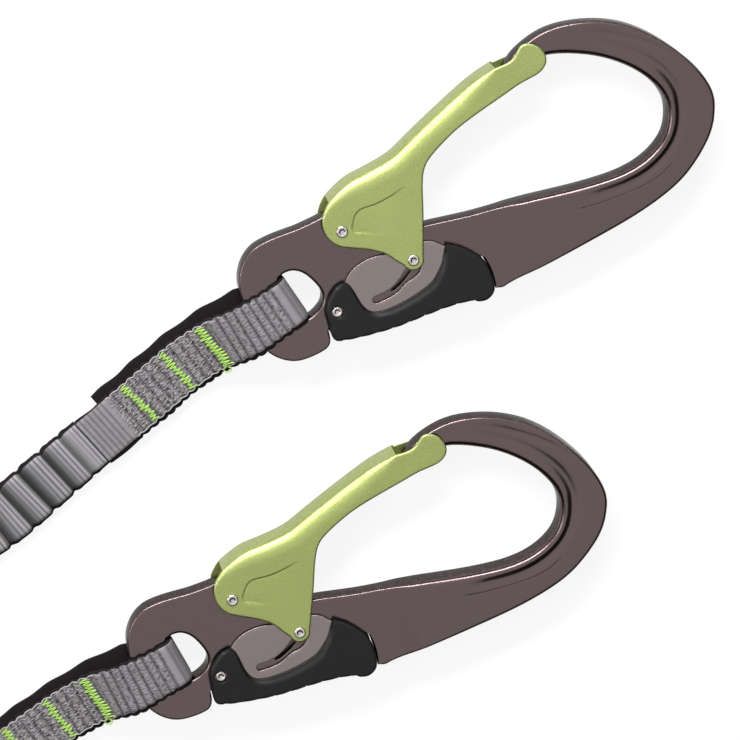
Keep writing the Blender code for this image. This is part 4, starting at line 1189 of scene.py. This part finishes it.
def loop_band(plan):
    """The loop's strip in a connector, with its ribs, scallops, drawn-in waist and painted shade."""
    far, height = loop_side.T
    leg = calmed((np.arange(len(far)) < far.argmin()).astype(float), 12)
    line = read_at(far, loop_along, loop_line)
    across = left_of(read_at(far, loop_along, directions(loop_line)))
    across = unit(np.column_stack([across, np.zeros(len(far))]))
    askew = 3.1 * mm * np.clip(far / (17.5 * mm), 0, 1) * leg
    centre = np.column_stack([line, height]) - across * askew[:, None]
    waist = 7.75 * mm + 1.05 * mm * ease(far / (30 * mm))
    sewn = between(far, 29.5 * mm, 74.5 * mm, 2 * mm, 2 * mm) * (1 - leg)
    ribbed = between(far, 4 * mm, 32 * mm, 3 * mm, 2 * mm) * (1 - leg)
    ribs = between(far, rib_start, 31 * mm, 1.2 * mm, 1.5 * mm) * (1 - leg)
    end_ribs = ease((far - sewn_end) / (1.5 * mm)) * (1 - leg)
    stitch = dip(far - 2.9 * mm, 0.35 * mm) * (1 - leg)
    scallop = ((np.abs(np.sin(math.pi * far / scallop_pitch)) ** 0.7 - 0.6) * 0.7 * mm
               * np.maximum(sewn, ribbed))
    flange = np.column_stack([0.5 + 0.3 * np.sin(far / (2.2 * mm)),
                              1.55 + 0.25 * np.sin(far / (3.1 * mm) + 1)]) * mm
    band = Band(plan.world(centre), across @ plan.spin.T, waist + scallop, 0.98 * mm, flange)
    band.relief = (rounded_ribs(far - rib_start, rib_pitch) * ribs * 0.5 - stitch * 0.3
                   + rounded_ribs(far - sewn_end, sewn_rib_pitch) * end_ribs * 0.34
                   + 0.34 * (np.abs(np.sin(math.pi * (far + 1.2 * mm) / scallop_pitch)) ** 0.8 - 1)
                   * sewn) * mm
    # painted shade: valley darkens the rib valleys, stitch the groove of the stitch line, and fold_shade the
    # fold round the eye's bar
    valley = (deep_valley(far - rib_start, rib_pitch) * ribs
              + deep_valley(far - sewn_end, sewn_rib_pitch) * end_ribs * 0.8
              + deep_valley(far + 1.2 * mm, scallop_pitch) * sewn * 0.85)
    fold_shade = 0.38 * ease((3.4 * mm - far) / (1.4 * mm))
    stitches = np.maximum(sewn, 0.6 * ribbed + 0.15 * end_ribs)
    return band, far, leg, stitches, np.clip(valley * 0.8 + stitch * 0.5 + fold_shade, 0, 1)


def tack_path(band, to_along, far, wide, zigzags, rng):
    """A zigzag bar tack across a band: each leg arches up between two corners."""
    corner = np.arange(2 * zigzags + 1)
    share = np.linspace(-0.93, 0.93, len(corner))
    place = (far + np.where(corner % 2, 0.5, -0.5) * wide - share * 0.75
             + rng.normal(0, 0.42, len(corner))) * mm
    path = np.empty((2 * len(corner) - 1, 3))
    path[::2] = band.at(to_along(place), share, 0.08 * mm)
    path[1::2] = band.at(to_along((place[1:] + place[:-1]) / 2), (share[1:] + share[:-1]) / 2, 0.30 * mm)
    return smooth(path, 3)


def make_end_loop(plan):
    """The loop's skin, its lime bar tacks with a loose tail, and its pale sewing."""
    band, band_far, leg, sewn, shade = loop_band(plan)
    dress_band("end_loop", "_" + plan.which, band.mesh(), webbing_weave, sewn, shade)
    front = np.flatnonzero((leg < 0.01) & (band_far > 4 * mm))

    def to_along(far):
        return np.interp(far, band_far[front], band.along[front])
    rng = np.random.default_rng(7)
    paths = [tack_path(band, to_along, *tack, rng) for tack in tacks]
    tail = band.at(to_along(np.array([33.0, 34.5, 34.8, 33.4, 31.9, 32.6]) * mm),
                   np.array([0.93, 0.98, 1.1, 1.17, 1.12, 1.03]), 0.22 * mm)
    make_threads(f"bar_tacks_{plan.which}", paths + [smooth(tail, 4)], 0.25 * mm, lime_thread, "webbing")
    edge = np.arange(30.0, 74.0, 0.3) * mm
    stitches = [band.at(to_along(edge), sign * (0.985 + 0.012 * np.sin(edge / (0.45 * mm))), 0.02 * mm)
                for sign in (-1, 1)]
    for far in np.arange(30.6, 73.5, 1.55):
        for lane in np.arange(-0.8, 0.81, 0.2) + rng.normal(0, 0.03, 9):
            start = far + rng.normal(0, 0.35)
            reach = start + np.array([0.0, 0.45, 0.9]) * rng.uniform(0.8, 1.4)
            if rng.random() < 0.62 and min(abs(start + 0.5 - tack[0]) - tack[1] / 2 for tack in tacks) > 0.5:
                stitches.append(band.at(to_along(reach * mm), lane + np.array([0, 0.012, 0.0]),
                                        np.array([-0.06, 0.13, -0.06]) * mm))
    make_threads(f"sewing_{plan.which}", stitches, 0.17 * mm, pale_thread, "webbing")
    print(plan.which, "loop with", len(stitches), "stitches")


for plan in plans.values():
    make_end_loop(plan)

# %% [markdown]
# Elastic arms. Each arm is a flat cord of fixed length that lies loose. Elastic threads inside draw its cover
# into gathers, 9 mm apart: a steep side out of each crease, a crest with fine ribs, and a long fall that is
# darkened with painted shade. The black back is a little wider than the grey front and shows as a dark edge
# on both sides.

# %% Elastic arms
arm_routes = {
    "upper": [(242.55, 93.55, 2.3), (223.0, 84.5, 2.3), (204.0, 75.8, 2.2), (185.0, 71.2, 2.2),
              (166.5, 73.5, 2.2), (150.0, 82.5, 2.2), (136.0, 96.0, 2.2), (124.0, 112.5, 2.2),
              (115.5, 131.0, 2.2), (111.5, 150.0, 2.2), (108.8, 171.0, 2.2), (101.0, 193.0, 2.2),
              (84.0, 212.5, 2.2), (61.5, 223.5, 2.2), (36.5, 223.5, 2.2), (12.8, 212.3, 2.2),
              (-4.2, 191.7, 2.2), (-10.4, 166.0, 2.2), (-11.3, 139.0, 2.2), (-11.3, 113.0, 2.2),
              (-11.0, 88.0, 2.4), (-10.4, 69.0, 3.1), (-10.3, 54.0, 3.8), (-10.3, 40.0, 3.6)],
    "lower": [(167.25, -11.65, 2.3), (148.5, -18.1, 2.3), (129.0, -21.3, 2.2), (109.8, -19.2, 2.2),
              (93.0, -9.8, 2.2), (82.2, 6.2, 2.2), (78.8, 26.5, 2.2), (81.8, 50.0, 2.2),
              (87.2, 73.0, 2.2), (89.6, 96.0, 2.2), (89.2, 122.0, 2.2), (88.7, 147.5, 2.2),
              (86.0, 173.5, 2.2), (74.0, 192.0, 2.2), (57.0, 201.5, 2.2), (38.5, 201.0, 2.2),
              (22.2, 189.7, 2.2), (12.8, 171.5, 2.2), (11.3, 146.0, 2.2), (11.3, 119.0, 2.2),
              (11.0, 92.0, 2.4), (10.4, 70.0, 3.1), (10.3, 54.0, 3.8), (10.3, 40.0, 3.6)]}
gather_pitch, fine_pitch = 9.0 * mm, 1.64 * mm
gather_places = (0, 0.03, 0.09, 0.22, 0.40, 0.60, 0.80, 0.93, 0.985, 1)
gather_levels = (-0.75, -0.55, 0.55, 0.80, 0.74, 0.42, -0.05, -0.45, -0.72, -0.75)
gather_shades = (0.98, 0.94, 0.04, 0.0, 0.08, 0.42, 0.86, 0.96, 0.98, 0.98)


def gathers(along, seed):
    """Where each place lies in its gather, from 0 to 1, how strong the gather is, and its fine ribs."""
    rng = np.random.default_rng(seed)
    length = along[-1]
    knots = np.arange(0, length + gather_pitch, gather_pitch)
    jitter = np.interp(along, knots, rng.normal(0, 0.55, len(knots))) * mm
    u = ((along + jitter + 1.5 * mm) / gather_pitch) % 1.0
    strength = between(along, 0, length, 10 * mm, 20 * mm) * 0.9 + 0.1
    strength *= 1 + 0.16 * np.interp(along, knots, rng.normal(0, 1, len(knots)))
    return u, strength, np.abs(np.sin(math.pi * (along + jitter) / fine_pitch)) ** 0.6 - 1


def make_arm(which, seed):
    """One arm: crest and shade follow u over each gather, and ribs ride on its crest."""
    path = resample(drawn(arm_routes[which], 8), 0.36 * mm)
    across = unit(np.column_stack([left_of(directions(path)), np.zeros(len(path))]))
    along = run_along(path)
    length = along[-1]
    u, strength, ribs = gathers(along, seed)
    crest, shade = (np.interp(u, gather_places, values) for values in (gather_levels, gather_shades))
    ribs = ribs * (1 - shade)
    swell = ease(np.minimum(along, length - along - 30 * mm) / (30 * mm))
    half = 8.75 * mm + 0.35 * mm * swell - 0.75 * mm * strength * (crest < -0.3) + 0.2 * mm * crest * strength
    frill = np.clip(0.7 - np.abs(u - 0.9) * 2.2, 0, 1)
    flange = np.column_stack([0.95 + 1.0 * frill, 1.1 + 0.5 * frill]) * mm
    flange *= (0.35 + 0.65 * ease((length - along) / (60 * mm)))[:, None]
    band = Band(path, across, calmed(half, 2), 1.42 * mm, flange)
    band.relief = (crest * 0.62 * strength + ribs * 0.34) * mm
    points, faces, woven_on = band.mesh(17)
    wave = np.repeat(np.sin(along / (21 * mm)) * 0.06, len(points) // len(path)) * mm
    points[:, 2] = np.maximum(points[:, 2] + wave, 0.15 * mm)
    # valley: painted shade over each gather's fall and in the valleys of the fine ribs
    valley = np.clip(shade * np.minimum(strength, 1) * 0.97 - ribs * 1.1 * (1 - shade) + 0.04, 0, 1)
    made = dress_band("elastic_arm", "_" + which, (points, faces, woven_on), elastic_weave, 0.0, valley)
    print(which, "arm", round(length, 4), "m,", len(faces), "faces")


for which, seed in (("upper", 11), ("lower", 12)):
    make_arm(which, seed)

# %% [markdown]
# Absorber. The pouch is a cloth cover that its contents fill but do not strain, so it creases at its hems
# and along its closing flap. The photo doesn't show it, so the cloth is a plain black weave with ordinary
# seams. Its section is carried from hem to hem once for the outside and once for the inside, and the two
# are joined at the ends.

# %% Pouch cloth
def cloth(name, colour):
    """Plain weave: two crossed sets of threads, a little fluff and random patches of tone, and shade as
    painted light and shade: darker in creases, paler on bulges.
    """
    finish = Finish(name, Roughness=0.9, Specular_IOR_Level=0.2, Sheen_Weight=0.2)
    along, across, shade = (finish.attribute(key) for key in ("along", "across", "shade"))
    weave = along.wave(0.55 * mm) * across.wave(0.55 * mm) * 0.5 + 0.5
    fluff = finish.noise(2500.0, detail=3.0, roughness=0.7)
    worn = finish.noise(45.0, detail=4.0)
    # painted light and shade: shade makes the cloth paler on bulges and darker in creases; the rest is weave,
    # fluff and random tone
    tone_and_painted_shade = weave * 0.35 + (fluff - 0.5) * 0.4 + (worn - 0.5) * 0.35 + shade
    finish.set(Base_Color=finish.mix(tone_and_painted_shade, colour, toned(colour, 2.2)))
    finish.bump(weave + fluff * 0.5, 0.12 * mm, 0.8)
    return finish.material


pouch_cloth = cloth("pouch_cloth", srgb(40, 38, 41))
pouch_length, pouch_width, pouch_height, pouch_wall = 110 * mm, 54 * mm, 28 * mm, 1.4 * mm
hem_seam, lap_place, lap_seam = 6.6 * mm, 0.455, 2.6 * mm
half_section = [(0, 0), (0.45, 0), (0.78, 0.0), (0.94, 0.06), (1, 0.24), (1, 0.55), (0.94, 0.80),
                (0.76, 0.95), (0.42, 1.01), (0, 1.03)]


# %% Pouch
def pouch_shape(rows=190, columns=150):
    """Ring(t) x station(s): a rounded section, flat below, with hems, flap, creases and a soft sag."""
    ring = smooth(np.array(half_section + [(-x, z) for x, z in half_section[-2::-1]]), 10)
    t = run_along(ring * (27, 28))
    turn = t[-1] * mm
    place = np.linspace(0, 1, columns, endpoint=False)
    x, z = read_at(place, t / t[-1], ring).T
    station = np.linspace(-0.5, 0.5, rows)[:, None]
    fullness = 0.84 + 0.16 * np.cos(math.pi * station)
    out_x, out_z = x, (z - 0.5) * 2
    out = np.sqrt(out_x**2 + out_z**2)
    rng = np.random.default_rng(5)
    fold = np.zeros((rows, columns))
    for _ in range(9):
        kx, ky = rng.integers(1, 6), rng.uniform(0.6, 4.0)
        fold += np.sin(2 * math.pi * (kx * place[None] + ky * station) + rng.uniform(0, 6.28)) / 9 ** 0.5
    crease = -np.clip(1 - np.abs(fold) / 0.55, 0, 1) ** 2
    from_end = (0.5 - np.abs(station)) * pouch_length
    pucker = np.sin(2 * math.pi * (17 * place[None] + 0.6 * fold)) * np.exp(-from_end / (16 * mm))
    hem = ease((8.5 * mm - from_end) / (0.7 * mm)) * 0.35
    seam = -0.35 * dip(from_end - hem_seam, 0.5 * mm)
    from_lap = (place[None] - lap_place) * turn
    lap = 0.75 * between(from_lap, 0, 32 * mm, 0.5 * mm, 30 * mm) - 0.3 * dip(from_lap - lap_seam, 0.45 * mm)
    free = ease((z - 0.10) / 0.25)[None]
    swell = (crease * 0.75 + pucker * 0.35 + hem + seam + lap - 0.55) * free * mm
    return x, z, station, fullness, swell, out_x / out, out_z / out, place, turn


def make_pouch():
    """The cover, outside and inside, and its stitches."""
    x, z, station, fullness, swell, nx, nz, place, turn = pouch_shape()
    rows, columns = swell.shape
    skins = []
    for wall, share in ((0, 1.0), (pouch_wall, 0.7)):
        px = x * (pouch_width * fullness / 2 - wall) + nx * swell * share
        pz = wall + z * (pouch_height * fullness - 2 * wall) + nz * swell * share
        py = np.broadcast_to(station * pouch_length, px.shape)
        skins.append(np.stack([px, py, pz], axis=-1).reshape(-1, 3))
    total = rows * columns
    faces = grid_faces(rows, columns, close_columns=True)
    faces += grid_faces(rows, columns, close_columns=True, start=total)
    for edge in (np.arange(columns), np.arange(columns) + (rows - 1) * columns):
        beyond = np.roll(edge, -1)
        faces += np.stack([edge, beyond, beyond + total, edge + total], axis=1).tolist()
    # shade: painted light and shade from the swell, paler on bulges and darker in creases, and none on the
    # inside
    shade = np.concatenate([np.clip(swell / mm, -0.6, 0.6).ravel() * 0.3, np.zeros(total)])
    mesh = closed_mesh("absorber_pouch", np.vstack(skins), faces)
    made = dress("absorber_pouch_skin", mesh, pouch_cloth, "root", "pouch_cloth", ["absorber_pouch"],
                 smooth_angle=60, along=np.tile(np.repeat(station.ravel() * pouch_length, columns), 2),
                 across=np.tile(place * turn, 2 * rows), shade=shade)
    outer = skins[0].reshape(rows, columns, 3)

    def on_pouch(y, share, lift=0.12 * mm):
        row = np.interp(y, station.ravel() * pouch_length, np.arange(rows)).round().astype(int)
        column = np.round(share * columns).astype(int) % columns
        return outer[row, column] + np.stack(
            [nx[column] * lift, np.zeros(len(column)), nz[column] * lift], axis=-1)
    hem_line = pouch_length / 2 - hem_seam
    stitches = [on_pouch(np.full(5, y), np.linspace(first, first + 0.0165, 5))
                for first in np.arange(0.195, 0.79, 0.0225) for y in (-hem_line, hem_line)]
    stitches += [on_pouch(np.linspace(first, first + 2.5 * mm, 5), np.full(5, lap_place + lap_seam / turn))
                 for first in np.arange(-46, 44, 3.4) * mm]
    make_threads("pouch_stitches", stitches, 0.2 * mm, pale_thread, "pouch_cloth")
    print("pouch", len(faces), "faces,", len(stitches), "stitches")


make_pouch()

# %% [markdown]
# Torn webbing and tie-in loop. Inside the pouch lies the webbing that rips in a fall, folded in seven
# layers, and the loop for the harness comes out of the pouch's far end. Both are bands whose middle lines
# stand upright.

# %% Torn webbing and tie-in loop
def upright_band(line, half_width, half_thick, turn_out):
    """A band whose middle line lies in the plane x = 0, read as (y, z)."""
    centre = np.column_stack([np.zeros(len(line)), line])
    across = np.tile((turn_out, 0.0, 0.0), (len(line), 1))
    return Band(centre, across, half_width, half_thick, 0.3 * mm)


def make_tear_webbing(layers=7, layer_pitch=2.9, half_length=37.0):
    """Webbing folded to and fro, each fold a half circle."""
    line = [(39.7, 2.8)]
    for layer in range(layers):
        height = 2.8 + layer * layer_pitch
        far = -half_length if layer % 2 == 0 else half_length
        line += [(far * 0.5, height), (far * 0.94, height)]
        if layer < layers - 1:
            angle = np.radians((-60, -25, 25, 60))
            line += [(far * 0.97 + math.copysign(layer_pitch / 2 * math.cos(a), far),
                      height + layer_pitch / 2 * (1 + math.sin(a))) for a in angle]
            line += [(far * 0.94, height + layer_pitch)]
    path = resample(drawn(line, 5), 0.6 * mm)
    band = upright_band(path, 13.7 * mm, 1.05 * mm, 1.0)
    band.relief = 0.08 * mm * np.sin(band.along / (0.9 * mm))
    # shade 0.15: a little painted shade all over
    dress_band("tear_webbing", "", band.mesh(), webbing_weave, 0.4, 0.15)
    print("torn webbing", round(band.along[-1], 3), "m")


def make_tie_in_loop():
    """Webbing out of the pouch, round its own bight, and back on top, closed by two bar tacks."""
    share = [(0, 2.75), (0.17, 2.75), (0.30, 1.30), (0.60, 1.30), (0.88, 1.30), (0.955, 3.4), (0.982, 6.5),
             (0.955, 9.6), (0.88, 11.85), (0.60, 11.25), (0.30, 8.3), (0.17, 4.95), (0, 4.95)]
    line = np.array([(-39.95 - 106 * y, z) for y, z in share]) * mm
    path = resample(smooth(line, 10), 0.45 * mm)
    band = upright_band(path, 10.85 * mm, 0.95 * mm, -1.0)
    y = -path[:, 0] - 39.95 * mm
    sewn = ease((30 * mm - y) / (3 * mm))
    band.relief = (0.10 * np.sin(band.along / (0.95 * mm)) * (1 - sewn) - 0.05 * sewn) * mm
    dress_band("tie_in_loop", "", band.mesh(21), webbing_weave, sewn, 0.0)
    rng = np.random.default_rng(3)
    paths = []
    for back in (18.0, 24.0):
        corner = np.arange(29)
        place = band.along[-1] - (back + np.where(corner % 2, 1.2, -1.2) + rng.normal(0, 0.12, 29)) * mm
        paths.append(smooth(band.at(place, np.linspace(-0.9, 0.9, 29), 0.15 * mm), 2))
    make_threads("tie_in_tacks", paths, 0.26 * mm, lime_thread, "webbing")


make_tear_webbing()
make_tie_in_loop()

# %% [markdown]
# Springs. The four springs lie hidden in the gates and grips, so their imported solids stay as they are and
# only get their metal.

# %% Springs and finish
for name in ("gate_spring_", "lever_spring_"):
    for which in plans:
        node = frame["nodes"][name + which]
        node.data.materials.clear()
        node.data.materials.append(spring_metal)
